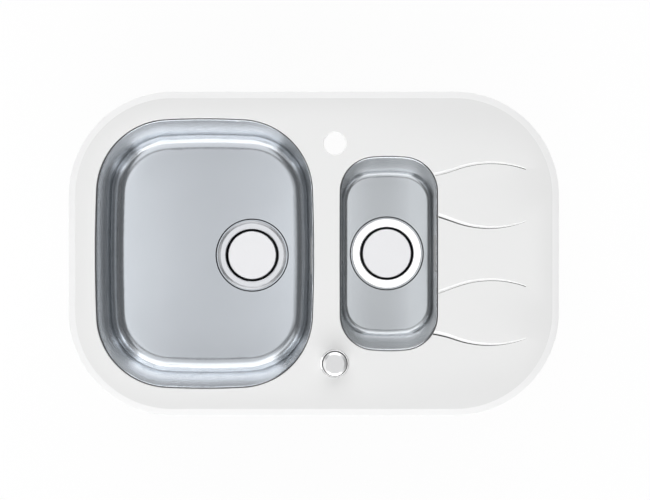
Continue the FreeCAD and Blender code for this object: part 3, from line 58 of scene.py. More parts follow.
# View from straight above, as high as a catalogue camera hangs over the table.
# The middle of the picture lies a little right of and behind the middle of the glass.
CAMERA_HEIGHT = 4.0
CAMERA_X = 0.0179
CAMERA_Y = 0.0056
SENSOR_WIDTH = 0.036
PICTURE_WIDTH = 1.0335
FAR_CLIP = 12.0
MM = 1000

glass_low, glass_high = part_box("glass_top")
camera_data = bpy.data.cameras.new("camera")
camera_data.sensor_width = SENSOR_WIDTH * MM
camera_data.lens = SENSOR_WIDTH * MM * CAMERA_HEIGHT / PICTURE_WIDTH
camera_data.clip_end = FAR_CLIP
camera = bpy.data.objects.new("camera", camera_data)
camera.location = (CAMERA_X, CAMERA_Y, glass_high.z + CAMERA_HEIGHT)
bpy.context.collection.objects.link(camera)
bpy.context.scene.camera = camera
bpy.context.scene.view_settings.view_transform = "Standard"


# White studio: a pale floor that keeps a faint shadow near the part, a dim tent, and softboxes in a
# dome. Two hang over the glass and the covers, tall sheets lean in from front and back, and low strips
# shine into the bowls. Each has its angle from the zenith, its bearing, size and brightness.
FLOOR_GAP = 0.02
FLOOR_SIZE = 12.0
FLOOR_COLOUR = (0.975, 0.975, 0.975)
FLOOR_SHADOW_SHARE = 0.07
SHADOW_REACH = 0.7
TENT_COLOUR = (0.98, 0.99, 1.0)
TENT_BRIGHTNESS = 0.17
DOME_RADIUS = 5.0
SOFTBOXES = {
    "overhead": (0, 0, (2.3, 1.5), 1.31),
    "overhead_left": (22, 180, (1.3, 1.5), 0.6),
    "front_sheet": (38.5, -90, (4.5, 3.9), 1.31),
    "front_strip": (71, -90, (6.5, 1.9), 3.8),
    "back_sheet": (32, 90, (4.5, 2.7), 1.03),
    "back_middle": (53.5, 90, (6.0, 1.1), 1.95),
    "back_strip": (65, 90, (6.5, 0.9), 2.8),
    "back_low": (76, 90, (6.5, 1.0), 1.6),
    "left_low": (84, 180, (4.5, 1.0), 3.6),
    "right_low": (72, 0, (4.5, 1.0), 0.5),
    "front_left": (72, -135, (3.2, 1.8), 1.3),
    "front_right": (72, -45, (3.2, 1.8), 0.85),
    "back_left": (50, 135, (3.2, 1.8), 1.15),
    "back_right": (72, 45, (3.2, 1.8), 0.85),
}


def add_node(tree, kind, inputs=None, **settings):
    """A new node with its settings, its inputs linked from sockets or set to values."""
    node = tree.nodes.new(kind)
    for name, value in settings.items():
        setattr(node, name, value)
    for name, value in (inputs or {}).items():
        if isinstance(value, bpy.types.NodeSocket):
            tree.links.new(value, node.inputs[name])
        else:
            node.inputs[name].default_value = value
    return node


def math_node(tree, operation, *values):
    """The outcome of one operation on sockets or plain values."""
    return add_node(tree, "ShaderNodeMath", dict(enumerate(values)), operation=operation).outputs[0]


def seen_directly(tree, *rays):
    """A factor of 1 for the named kinds of ray, and 0 for the rest."""
    path = add_node(tree, "ShaderNodeLightPath")
    total = path.outputs[rays[0]]
    for ray in rays[1:]:
        total = math_node(tree, "MAXIMUM", total, path.outputs[ray])
    return total


def make_floor():
    """A flat floor that renders white, with a faint shadow that fades out beyond its reach."""
    mesh = bpy.data.meshes.new("floor")
    half = FLOOR_SIZE / 2
    level = cad_box[0].z - FLOOR_GAP
    corners = [(x * half, y * half, level) for x, y in ((-1, -1), (1, -1), (1, 1), (-1, 1))]
    mesh.from_pydata(corners, [], [(0, 1, 2, 3)])
    floor = bpy.data.objects.new("floor", mesh)
    bpy.context.collection.objects.link(floor)
    paper = bpy.data.materials.new("pale_floor")
    paper.use_nodes = True
    tree = paper.node_tree
    surface = tree.nodes["Principled BSDF"]
    surface.inputs["Base Color"].default_value = (*FLOOR_COLOUR, 1)
    surface.inputs["Roughness"].default_value = 1
    glow = add_node(tree, "ShaderNodeEmission", {"Strength": 1})
    white = seen_directly(tree, "Is Camera Ray", "Is Glossy Ray", "Is Transmission Ray")
    place = add_node(tree, "ShaderNodeTexCoord").outputs["Object"]
    reach = add_node(tree, "ShaderNodeVectorMath", {0: place}, operation="LENGTH").outputs["Value"]
    glow_share = add_node(tree, "ShaderNodeMapRange", {
        "Value": reach, "From Min": SHADOW_REACH, "From Max": 2 * SHADOW_REACH,
        "To Min": 1 - FLOOR_SHADOW_SHARE, "To Max": 1})
    share = math_node(tree, "MULTIPLY", white, glow_share.outputs[0])
    both = add_node(tree, "ShaderNodeMixShader", {0: share, 1: surface.outputs[0], 2: glow.outputs[0]})
    tree.links.new(both.outputs[0], tree.nodes["Material Output"].inputs["Surface"])
    mesh.materials.append(paper)


def light_the_tent():
    """Dim light from all round, which the camera sees as a white backdrop."""
    world = bpy.data.worlds.new("studio")
    bpy.context.scene.world = world
    world.use_nodes = True
    tree = world.node_tree
    cloth = tree.nodes["Background"]
    cloth.inputs["Color"].default_value = (*TENT_COLOUR, 1)
    cloth.inputs["Strength"].default_value = TENT_BRIGHTNESS
    backdrop = add_node(tree, "ShaderNodeBackground", {"Color": (1, 1, 1, 1), "Strength": 1})
    seen = seen_directly(tree, "Is Camera Ray", "Is Transmission Ray")
    both = add_node(tree, "ShaderNodeMixShader", {0: seen, 1: cloth.outputs[0], 2: backdrop.outputs[0]})
    tree.links.new(both.outputs[0], tree.nodes["World Output"].inputs["Surface"])


def hang_softbox(name, zenith, bearing, size, brightness):
    """A rectangular lamp of an even brightness in the dome, which faces the middle of the glass."""
    data = bpy.data.lights.new(name, "AREA")
    data.shape = "RECTANGLE"
    data.size, data.size_y = size
    data.energy = brightness * size[0] * size[1] * math.pi
    lamp = bpy.data.objects.new(name, data)
    tilt, turn = math.radians(zenith), math.radians(bearing)
    place = Vector((math.sin(tilt) * math.cos(turn), math.sin(tilt) * math.sin(turn), math.cos(tilt)))
    lamp.location = place * DOME_RADIUS
    lamp.rotation_euler = (0, 0, 0) if zenith == 0 else (-place).to_track_quat("-Z", "Y").to_euler()
    lamp.visible_camera = False
    bpy.context.collection.objects.link(lamp)


make_floor()
light_the_tent()
for name, (zenith, bearing, size, brightness) in SOFTBOXES.items():
    hang_softbox(name, zenith, bearing, size, brightness)


# Glass top: safety glass 8 mm thick with a white enamel back. The blank is cut to a rounded oblong,
# its edge is ground to a shallow facet, the bowl cut-outs and the two holes are milled and polished,
# and four wavy grooves are ground into the drainer, deepest where they run into the half bowl.
GLASS_CORNER = 0.165
FACET_WIDTH = 0.010
FACET_DROP = 0.0022
ARRIS = 0.0005
MAIN_CUT = dict(x=-0.1738, half_x=0.1745, half_y=0.2154, end_bow=1.210, side_bow=2.680, corner=0.1166)
HALF_CUT = dict(x=0.1196, half_x=0.0785, half_y=0.1556, end_bow=0.290, side_bow=20.0, corner=0.0562)
CUT_ARRIS = 0.0008
HOLE_X = 0.0335
HOLE_Y = 0.175
HOLE_RADIUS = 0.0175
HOLE_CHAMFER = 0.0015
ARC_STEPS = 26
HOLE_STEPS = 72
GLASS_CREASE = math.radians(8)
GROOVE_PEAK = 0.281
GROOVE_END = 0.3374
INNER_GROOVE = dict(y=0.0415, way=-1, start=0.186, turn=0.227, far_bow=0.160, near_bow=2.0)
OUTER_GROOVE = dict(y=0.1445, way=1, start=0.172, turn=0.225, far_bow=0.165, near_bow=0.190)
# Lip widths at the bowl and at the groove's end, which set how wide the painted dark line runs.
FALLING_LIP = (0.0024, 0.0002)
RISING_LIP = (0.0005, 0.0011)
GROOVE_DEPTH = 0.0011
GROOVE_FADE = 0.00012
GROOVE_SWEEP = 0.011
GROOVE_STEPS = 44
SWEEP_STEPS = 7
ENAMEL = (0.820, 0.820, 0.817)
GROUND_WHITE = (0.895, 0.895, 0.895)
# The sweep's pure white is partly its ground frost and partly painted highlight, lighter than the other
# ground faces.
SWEEP_FROST_AND_HIGHLIGHT = (1.0, 1.0, 1.0)
# The lip's near black is painted shade.
LIP_PAINTED_SHADE = (0.03, 0.033, 0.033)
GLASS_ROUGHNESS = 0.14
GROUND_ROUGHNESS = 0.35
POLISH_SPREAD = 0.3
GLASS_INDEX = 1.52
GROUND_SLOT, LIP_SLOT, SWEEP_SLOT = 1, 2, 3
LIP_SIDES = (1, 2)


def arc(x, y, radius, start, end, steps):
    """Points along an arc, without its last one."""
    turns = [start + (end - start) * i / steps for i in range(steps)]
    return [(x + radius * math.cos(turn), y + radius * math.sin(turn)) for turn in turns]


def circle(x, y, radius, steps):
    """Points round a full circle."""
    return arc(x, y, radius, 0, 2 * math.pi, steps)


def rounded_oblong(half_x, half_y, corner):
    """Outline of an oblong with round corners, which starts at its right side's top end."""
    points = []
    for turn, (side_x, side_y) in enumerate(((1, 1), (-1, 1), (-1, -1), (1, -1))):
        start = turn * math.pi / 2
        points += arc(side_x * (half_x - corner), side_y * (half_y - corner), corner,
                      start, start + math.pi / 2, ARC_STEPS)
        points.append((side_x * (half_x - corner) + corner * math.cos(start + math.pi / 2),
                       side_y * (half_y - corner) + corner * math.sin(start + math.pi / 2)))
    return points


def bowed_outline(cut, grow=0.0):
    """Outline of a bowl: four sides that bow outwards, joined by tangent corner arcs."""
    end, side, corner = (cut[name] + grow for name in ("end_bow", "side_bow", "corner"))
    end_y = cut["half_y"] + grow - end
    side_x = cut["half_x"] + grow - side
    gap = math.hypot(side_x, end_y)
    along = ((end - corner) ** 2 - (side - corner) ** 2 + gap ** 2) / (2 * gap)
    across = math.sqrt((end - corner) ** 2 - along ** 2)
    x = (side_x * along - end_y * across) / gap
    y = end_y - (end_y * along + side_x * across) / gap
    top = math.atan2(y - end_y, x)
    right = math.atan2(y, x - side_x)
    points = arc(side_x, 0, side, -right, right, ARC_STEPS)
    points += arc(x, y, corner, right, top, ARC_STEPS)
    points += arc(0, end_y, end, top, math.pi - top, ARC_STEPS)
    points += arc(-x, y, corner, math.pi - top, math.pi - right, ARC_STEPS)
    points += arc(-side_x, 0, side, math.pi - right, math.pi + right, ARC_STEPS)
    points += arc(-x, -y, corner, math.pi + right, math.pi + top, ARC_STEPS)
    points += arc(0, -end_y, end, math.pi + top, 2 * math.pi - top, ARC_STEPS)
    points += arc(x, -y, corner, -top, -right, ARC_STEPS)
    return [(cut["x"] + px, py) for px, py in points]


def lay_ring(mesh, outline, level):
    """A closed ring of vertices and edges at one level."""
    ring = [mesh.verts.new((x, y, level)) for x, y in outline]
    for i, vert in enumerate(ring):
        mesh.edges.new((ring[i - 1], vert))
    return ring


def wall_between(mesh, low, high):
    """Quads between two rings of as many vertices."""
    return [mesh.faces.new((low[i - 1], low[i], high[i], high[i - 1])) for i in range(len(low))]


def face_between(mesh, rings):
    """One flat face inside the first ring and round the others, in triangles."""
    edges = [mesh.edges.get((ring[i - 1], ring[i])) for ring in rings for i in range(len(ring))]
    bmesh.ops.triangle_fill(mesh, use_beauty=True, edges=edges)


def to_object(mesh, name):
    """Turns a finished bmesh into an object whose normals point outwards."""
    bmesh.ops.recalc_face_normals(mesh, faces=mesh.faces)
    data = bpy.data.meshes.new(name)
    mesh.to_mesh(data)
    mesh.free()
    piece = bpy.data.objects.new(name, data)
    bpy.context.collection.objects.link(piece)
    return piece


def settle(piece):
    """Applies a piece's modifiers to its mesh."""
    bpy.context.view_layer.update()
    evaluated = piece.evaluated_get(bpy.context.evaluated_depsgraph_get())
    shaped = bpy.data.meshes.new_from_object(evaluated)
    piece.modifiers.clear()
    piece.data = shaped


def carve(piece, tool):
    """Cuts a tool out of a piece for good."""
    cut = piece.modifiers.new("cut", "BOOLEAN")
    cut.operation = "DIFFERENCE"
    cut.solver = "EXACT"
    cut.object = tool
    settle(piece)
    bpy.data.objects.remove(tool)


def smooth(piece, crease):
    """Smooth shading, except at edges that turn by more than the crease."""
    piece.data.shade_smooth()
    piece.data.set_sharp_from_angle(angle=crease)


def glass_blank():
    """The glass without its grooves, in which the facet, arrises and edges use the second material."""
    half_x, half_y, top = glass_high.x, glass_high.y, glass_high.z
    facet_rise = FACET_DROP * ARRIS / FACET_WIDTH
    edge_profile = ((ARRIS, 0), (0, ARRIS), (0, top - FACET_DROP - ARRIS),
                    (ARRIS, top - FACET_DROP + facet_rise), (FACET_WIDTH - ARRIS, top - facet_rise),
                    (FACET_WIDTH + ARRIS, top))
    cut_profile = ((CUT_ARRIS, 0), (0, CUT_ARRIS), (0, top - CUT_ARRIS), (CUT_ARRIS, top))
    hole_profile = ((HOLE_RADIUS + ARRIS, 0), (HOLE_RADIUS, ARRIS), (HOLE_RADIUS, top - HOLE_CHAMFER),
                    (HOLE_RADIUS + HOLE_CHAMFER, top))
    walls = [[(rounded_oblong(half_x - inset, half_y - inset, GLASS_CORNER - inset), level)
              for inset, level in edge_profile]]
    for cut in (MAIN_CUT, HALF_CUT):
        walls.append([(bowed_outline(cut, grow), level) for grow, level in cut_profile])
    for y in (HOLE_Y, -HOLE_Y):
        walls.append([(circle(HOLE_X, y, radius, HOLE_STEPS), level) for radius, level in hole_profile])
    mesh = bmesh.new()
    ground = []
    bottoms = []
    tops = []
    for wall in walls:
        rings = [lay_ring(mesh, outline, level) for outline, level in wall]
        for low, high in zip(rings, rings[1:]):
            ground += wall_between(mesh, low, high)
        bottoms.append(rings[0])
        tops.append(rings[-1])
    face_between(mesh, tops)
    face_between(mesh, bottoms)
    for face in ground:
        face.material_index = GROUND_SLOT
    return to_object(mesh, "ground_glass_top")


def groove_route(x, groove):
    """Where a groove lies at x, and the slope of its run: an arc round its peak, then a counter arc."""
    far, near = groove["far_bow"], groove["near_bow"]
    turn_run = groove["turn"] - GROOVE_PEAK
    run = x - GROOVE_PEAK
    height = math.sqrt(far ** 2 - run ** 2) if x >= groove["turn"] else 0
    drop, slope = far - height, -run / (height or far)
    if x < groove["turn"]:
        stretch = (far + near) / far
        run = x - GROOVE_PEAK - stretch * turn_run
        height = math.sqrt(near ** 2 - run ** 2)
        drop = far - stretch * math.sqrt(far ** 2 - turn_run ** 2) + height
        slope = run / height
    return groove["y"] - groove["way"] * drop, groove["way"] * slope


def groove_wheel(groove, side):
    """The path of the grinding wheel: a steep lip in front and a gentle sweep behind, each of its own
    material, painted shade on the lip and a painted highlight on the sweep. The lip, and so its painted
    dark line, narrows along a groove that leaves the bowl forwards, and widens along the others."""
    mesh = bmesh.new()
    top = glass_high.z
    edge_x = HALF_CUT["x"] + HALF_CUT["half_x"]
    # How wide the lip, and so its painted dark line, is at the bowl and at the groove's end.
    near_lip, far_lip = FALLING_LIP if groove["way"] * side < 0 else RISING_LIP
    sections = []
    for i in range(GROOVE_STEPS + 1):
        x = groove["start"] + (GROOVE_END - groove["start"]) * i / GROOVE_STEPS
        y, slope = groove_route(x, groove)
        y, slope = y * side, slope * side
        share = max(0.0, (x - edge_x) / (GROOVE_END - edge_x))
        depth = GROOVE_DEPTH + (GROOVE_FADE - GROOVE_DEPTH) * share
        width = math.sqrt(2 * GROOVE_SWEEP * depth)
        lip = near_lip + (far_lip - near_lip) * share
        profile = [(-lip * (1 + GROOVE_DEPTH / depth), GROOVE_DEPTH), (-lip, 0), (0, -depth)]
        for k in range(1, SWEEP_STEPS + 1):
            reach = width * k / SWEEP_STEPS
            profile.append((reach, reach ** 2 / (2 * GROOVE_SWEEP) - depth))
        profile.append((width + GROOVE_SWEEP * GROOVE_DEPTH / width, GROOVE_DEPTH))
        middle = (width - lip) / 2
        length = math.hypot(1, slope)
        sections.append([mesh.verts.new((x - slope / length * (reach - middle),
                                         y + (reach - middle) / length, top + level))
                         for reach, level in profile])
    for near, far in zip(sections, sections[1:]):
        for k, face in enumerate(wall_between(mesh, near, far)):
            face.material_index = LIP_SLOT if k in LIP_SIDES else SWEEP_SLOT
    mesh.faces.new(sections[0])
    mesh.faces.new(sections[-1])
    return to_object(mesh, "grinding_wheel_path")


def new_group(name, inputs, outputs):
    """An empty shader node group with float or vector sockets, and its two end nodes."""
    group = bpy.data.node_groups.new(name, "ShaderNodeTree")
    for socket, (kind, value) in inputs.items():
        added = group.interface.new_socket(socket, in_out="INPUT", socket_type="NodeSocket" + kind)
        added.default_value = value
    for socket, kind in outputs.items():
        group.interface.new_socket(socket, in_out="OUTPUT", socket_type="NodeSocket" + kind)
    return group, add_node(group, "NodeGroupInput"), add_node(group, "NodeGroupOutput")


def drifting_tone_group():
    """A tone that drifts by a small amount over a surface, such as enamel or rolled metal has."""
    group, given, result = new_group(
        "drifting_tone", {"Scale": ("Float", 8.0), "Amount": ("Float", 0.03)}, {"Tone": "Float"})
    place = add_node(group, "ShaderNodeTexCoord").outputs["Object"]
    cloud = add_node(group, "ShaderNodeTexNoise", {
        "Vector": place, "Scale": given.outputs["Scale"], "Detail": 3.0})
    centred = math_node(group, "SUBTRACT", cloud.outputs[0], 0.5)
    swing = math_node(group, "MULTIPLY", centred, given.outputs["Amount"])
    tone = math_node(group, "MULTIPLY_ADD", swing, 2.0, 1.0)
    group.links.new(tone, result.inputs["Tone"])
    return group


DRIFTING_TONE = drifting_tone_group()


def use_group(tree, group, **inputs):
    """Places a group in a material or another group, with its own values."""
    values = {name.replace("_", " "): value for name, value in inputs.items()}
    return add_node(tree, "ShaderNodeGroup", values, node_tree=group)


def new_finish(name):
    """A material, its node tree and its surface shader."""
    material = bpy.data.materials.new(name)
    material.use_nodes = True
    return material, material.node_tree, material.node_tree.nodes["Principled BSDF"]


def tinted(tree, colour, factor):
    """A colour times a factor that changes over the surface."""
    shade = add_node(tree, "ShaderNodeCombineColor", {0: factor, 1: factor, 2: factor})
    mix = add_node(tree, "ShaderNodeMix", {6: (*colour, 1), 7: shade.outputs[0], "Factor": 1.0},
                   data_type="RGBA", blend_type="MULTIPLY")
    return mix.outputs[2]


def enamelled_glass(name, colour, roughness, drift):
    """Clear gloss over an even back of the given colour, with a little unevenness of tone and polish:
    white enamel on the glass, painted shade on the groove lips, painted highlight on the sweeps.
    """
    material, tree, surface = new_finish(name)
    tone = use_group(tree, DRIFTING_TONE, Scale=6.0, Amount=drift)
    tree.links.new(tinted(tree, colour, tone.outputs["Tone"]), surface.inputs["Base Color"])
    haze = add_node(tree, "ShaderNodeTexNoise", {
        "Vector": add_node(tree, "ShaderNodeTexCoord").outputs["Object"], "Scale": 30.0, "Detail": 6.0})
    polish = add_node(tree, "ShaderNodeMapRange", {
        "Value": haze.outputs[0], "To Min": roughness * (1 - POLISH_SPREAD),
        "To Max": roughness * (1 + POLISH_SPREAD)})
    tree.links.new(polish.outputs[0], surface.inputs["Roughness"])
    surface.inputs["IOR"].default_value = GLASS_INDEX
    return material


glass_top = glass_blank()
for name, colour, roughness, drift in (
        ("white_glass", ENAMEL, GLASS_ROUGHNESS, 0.006),
        ("ground_glass", GROUND_WHITE, GROUND_ROUGHNESS, 0.02),
        ("groove_lip_painted_shade", LIP_PAINTED_SHADE, GLASS_ROUGHNESS, 0.02),
        ("groove_sweep_frost_and_highlight", SWEEP_FROST_AND_HIGHLIGHT, GROUND_ROUGHNESS, 0.01)):
    glass_top.data.materials.append(enamelled_glass(name, colour, roughness, drift))
for groove in (INNER_GROOVE, OUTER_GROOVE):
    for side in (1, -1):
        carve(glass_top, groove_wheel(groove, side))
smooth(glass_top, GLASS_CREASE)
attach(glass_top, "sink")
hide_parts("glass_top")


# Bowls: each is deep drawn from one 1 mm sheet of stainless steel. The die leaves faint lines round
# the smooth walls, the brushed satin floor keeps soft waves and a drifting tone, and the outside
# stays dull and hazy. A painted sheen band lightens each floor to either side of a line, and the
# floors' steel is painted darker and the walls' lighter, as painted shade and light.
# Painted shade and light: the floors' steel tone is set dark and the walls' light, and each bowl's differs,
# though all are one steel.
SHADED_FLOOR_STEEL = {"main": (0.422, 0.445, 0.474), "half": (0.385, 0.404, 0.422)}
LIT_WALL_STEEL = {"main": (0.85, 0.865, 0.88), "half": (0.84, 0.85, 0.86)}
OUTSIDE_STEEL = (0.46, 0.465, 0.47)
WALL_ROUGHNESS = {"main": 0.14, "half": 0.20}
FLOOR_ROUGHNESS = 0.23
OUTSIDE_ROUGHNESS = 0.30
HAZE_SCALE = 9.0
HAZE_AMOUNT = 0.15
# Painted sheen bands: the middle, half width and rise of each floor's band.
BOWL_PAINTED_SHEENS = {"main": (-0.155, 0.145, 0.27), "half": (0.109, 0.05, 0.24)}


def edge_wear_group():
    """A mask of the outer edges, where handling and polishing show first."""
    group, given, result = new_group("edge_wear", {"Radius": ("Float", 0.0005)}, {"Mask": "Float"})
    rounded = add_node(group, "ShaderNodeBevel", {"Radius": given.outputs["Radius"]}, samples=4)
    normal = add_node(group, "ShaderNodeNewGeometry").outputs["Normal"]
    facing = add_node(group, "ShaderNodeVectorMath", {0: rounded.outputs[0], 1: normal},
                      operation="DOT_PRODUCT")
    mask = add_node(group, "ShaderNodeMapRange", {
        "Value": facing.outputs["Value"], "From Min": 0.98, "From Max": 0.75, "To Min": 0.0, "To Max": 1.0})
    group.links.new(mask.outputs[0], result.inputs["Mask"])
    return group


def fine_grain_group():
    """The normal of a finely grained surface, such as brushed sheet, cast metal or moulded plastic."""
    group, given, result = new_group("fine_grain", {
        "Scale": ("Float", 900.0), "Stretch": ("Vector", (1.0, 1.0, 1.0)), "Depth": ("Float", 0.00002)},
        {"Normal": "Vector"})
    place = add_node(group, "ShaderNodeTexCoord").outputs["Object"]
    drawn = add_node(group, "ShaderNodeVectorMath", {0: place, 1: given.outputs["Stretch"]},
                     operation="MULTIPLY")
    grain = add_node(group, "ShaderNodeTexNoise", {
        "Vector": drawn.outputs[0], "Scale": given.outputs["Scale"], "Detail": 2.0})
    bump = add_node(group, "ShaderNodeBump", {
        "Height": grain.outputs[0], "Distance": given.outputs["Depth"], "Strength": 1.0})
    group.links.new(bump.outputs[0], result.inputs["Normal"])
    return group


def drawn_sheet_group():
    """The normal of deep drawn sheet: level die lines, soft waves and brushed grain, one over another."""
    group, given, result = new_group("drawn_sheet", {
        "Line Scale": ("Float", 260.0), "Line Depth": ("Float", 0.00012), "Wave Scale": ("Float", 7.0),
        "Wave Depth": ("Float", 0.0005)}, {"Normal": "Vector"})
    place = add_node(group, "ShaderNodeTexCoord").outputs["Object"]
    height = add_node(group, "ShaderNodeSeparateXYZ", {0: place}).outputs["Z"]
    waves = add_node(group, "ShaderNodeTexNoise", {
        "Vector": place, "Scale": given.outputs["Wave Scale"], "Detail": 1.0})
    lines = add_node(group, "ShaderNodeTexNoise", {
        "W": height, "Scale": given.outputs["Line Scale"], "Detail": 2.0}, noise_dimensions="1D")
    brushed = use_group(group, FINE_GRAIN, Scale=700.0, Stretch=(1.0, 0.25, 1.0), Depth=0.00001)
    normal = brushed.outputs["Normal"]
    for layer, depth in ((waves, "Wave Depth"), (lines, "Line Depth")):
        bump = add_node(group, "ShaderNodeBump", {
            "Height": layer.outputs[0], "Distance": given.outputs[depth], "Strength": 1.0,
            "Normal": normal})
        normal = bump.outputs[0]
    group.links.new(normal, result.inputs["Normal"])
    return group


def level_mask_group():
    """1 where a surface lies level and faces up, falling to 0 where it stands upright."""
    group, given, result = new_group("level_mask", {}, {"Mask": "Float"})
    normal = add_node(group, "ShaderNodeNewGeometry").outputs["Normal"]
    parts = add_node(group, "ShaderNodeSeparateXYZ", {0: normal})
    mask = add_node(group, "ShaderNodeMapRange", {
        "Value": parts.outputs["Z"], "From Min": 0.2, "From Max": 0.98}, interpolation_type="SMOOTHSTEP")
    group.links.new(mask.outputs[0], result.inputs["Mask"])
    return group


def brushed_band_group():
    """A painted sheen: a tone that rises to either side of a line from front to back."""
    group, given, result = new_group("painted_sheen_band", {
        "Middle": ("Float", 0.0), "Half Width": ("Float", 0.1), "Rise": ("Float", 0.2)}, {"Tone": "Float"})
    place = add_node(group, "ShaderNodeTexCoord").outputs["Object"]
    across = add_node(group, "ShaderNodeSeparateXYZ", {0: place}).outputs["X"]
    away = math_node(group, "SUBTRACT", across, given.outputs["Middle"])
    share = math_node(group, "DIVIDE", away, given.outputs["Half Width"])
    square = math_node(group, "MULTIPLY", share, share)
    held = math_node(group, "MINIMUM", square, 1.0)
    tone = math_node(group, "MULTIPLY_ADD", held, given.outputs["Rise"], 1.0)
    group.links.new(tone, result.inputs["Tone"])
    return group


EDGE_WEAR = edge_wear_group()
FINE_GRAIN = fine_grain_group()
DRAWN_SHEET = drawn_sheet_group()
LEVEL_MASK = level_mask_group()
PAINTED_SHEEN_BAND = brushed_band_group()


def worn_edges(tree, tone, radius, gain):
    """A tone that is a little lighter at the outer edges, where wear has polished them."""
    edges = use_group(tree, EDGE_WEAR, Radius=radius)
    return math_node(tree, "MULTIPLY_ADD", edges.outputs["Mask"], gain, tone)


def drawn_steel(prefix, middle, half_width, rise):
    """Deep drawn stainless: a bluish satin floor with a painted sheen band, smoother walls, a dull outside.
    The floor's steel tone is painted darker and the walls' lighter, as painted shade and light.
    """
    material, tree, surface = new_finish(prefix + "_bowl_steel")
    tone = use_group(tree, DRIFTING_TONE, Scale=7.0, Amount=0.06)
    wall_tone = worn_edges(tree, tone.outputs["Tone"], radius=0.0012, gain=0.1)
    # A painted sheen band lightens the floor to either side of its line.
    band = use_group(tree, PAINTED_SHEEN_BAND, Middle=middle, Half_Width=half_width, Rise=rise)
    floor_tone = math_node(tree, "MULTIPLY", wall_tone, band.outputs["Tone"])
    floor_share = use_group(tree, LEVEL_MASK).outputs["Mask"]
    # Level floors take the darker painted tone, upright walls the lighter one.
    inside = add_node(tree, "ShaderNodeMix", {
        "Factor": floor_share, 6: tinted(tree, LIT_WALL_STEEL[prefix], wall_tone),
        7: tinted(tree, SHADED_FLOOR_STEEL[prefix], floor_tone)}, data_type="RGBA")
    polish = add_node(tree, "ShaderNodeMapRange", {
        "Value": floor_share, "To Min": WALL_ROUGHNESS[prefix], "To Max": FLOOR_ROUGHNESS})
    facing = add_node(tree, "ShaderNodeSeparateXYZ", {
        0: add_node(tree, "ShaderNodeNewGeometry").outputs["True Normal"]})
    outside = math_node(tree, "LESS_THAN", facing.outputs["Z"], 0.0)
    haze = use_group(tree, DRIFTING_TONE, Scale=HAZE_SCALE, Amount=HAZE_AMOUNT)
    skin = add_node(tree, "ShaderNodeMix", {
        "Factor": outside, 6: inside.outputs[2], 7: tinted(tree, OUTSIDE_STEEL, haze.outputs["Tone"])},
        data_type="RGBA")
    tree.links.new(skin.outputs[2], surface.inputs["Base Color"])
    dull = add_node(tree, "ShaderNodeMapRange", {
        "Value": outside, "To Min": polish.outputs[0], "To Max": OUTSIDE_ROUGHNESS})
    tree.links.new(dull.outputs[0], surface.inputs["Roughness"])
    tree.links.new(use_group(tree, DRAWN_SHEET).outputs["Normal"], surface.inputs["Normal"])
    surface.inputs["Metallic"].default_value = 1
    return material


def dress_node(name, material):
    """Gives a carried-over solid its finish."""
    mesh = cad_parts[name].data
    mesh.materials.clear()
    mesh.materials.append(material)


for prefix, (middle, half_width, rise) in BOWL_PAINTED_SHEENS.items():
    dress_node(prefix + "_bowl", drawn_steel(prefix, middle, half_width, rise))


# Sealant: a grey silicone bead runs round each bowl between its flange and the glass. Its tooled
# face reaches into view inside the cut-out in a near black grey, partly the sealant's colour and
# partly painted shadow, and shows as a narrow dark line.
BEAD_OUTSIDE = 0.006
BEAD_CLIMB = 0.0015
BEAD_REACH = 0.0019
BEAD_SINK = 0.0004
BEAD_STEPS = 6
BEAD_CREASE = math.radians(30)
# Near black grey: partly the sealant's colour, partly painted shadow.
SEALANT_AND_SHADOW_GREY = (0.075, 0.078, 0.082)
SILICONE_ROUGHNESS = 0.35


def rubbery(name, colour, roughness):
    """Matt rubber or silicone with a fine grain and a slightly uneven tone."""
    material, tree, surface = new_finish(name)
    tone = use_group(tree, DRIFTING_TONE, Scale=60.0, Amount=0.15)
    tree.links.new(tinted(tree, colour, tone.outputs["Tone"]), surface.inputs["Base Color"])
    surface.inputs["Roughness"].default_value = roughness
    grain = use_group(tree, FINE_GRAIN, Scale=1500.0, Depth=0.00003)
    tree.links.new(grain.outputs["Normal"], surface.inputs["Normal"])
    return material


def sealant_bead(name, cut, flange_level):
    """A bead with a hollow tooled face that runs from the glass edge down to the bowl's shoulder."""
    mesh = bmesh.new()
    profile = [(BEAD_OUTSIDE, flange_level), (BEAD_OUTSIDE, glass_low.z), (0.0, glass_low.z)]
    drop = BEAD_CLIMB + glass_low.z - flange_level + BEAD_SINK
    for i in range(BEAD_STEPS + 1):
        turn = math.pi / 2 * i / BEAD_STEPS
        profile.append((-BEAD_REACH * (1 - math.cos(turn)),
                        glass_low.z + BEAD_CLIMB - drop * math.sin(turn)))
    profile.append((-BEAD_REACH, flange_level - 2 * BEAD_SINK))
    profile.append((0.0, flange_level))
    rings = [lay_ring(mesh, bowed_outline(cut, grow), level) for grow, level in profile]
    for low, high in zip(rings, rings[1:] + rings[:1]):
        wall_between(mesh, low, high)
    return to_object(mesh, name)


silicone = rubbery("grey_sealant_and_painted_shadow", SEALANT_AND_SHADOW_GREY, SILICONE_ROUGHNESS)
for prefix, cut in (("main", MAIN_CUT), ("half", HALF_CUT)):
    flange_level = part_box(prefix + "_bowl")[1].z
    bead = sealant_bead(prefix + "_tooled_bead", cut, flange_level)
    bead.data.materials.append(silicone)
    smooth(bead, BEAD_CREASE)
    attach(bead, "sink")
    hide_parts(prefix + "_bead")


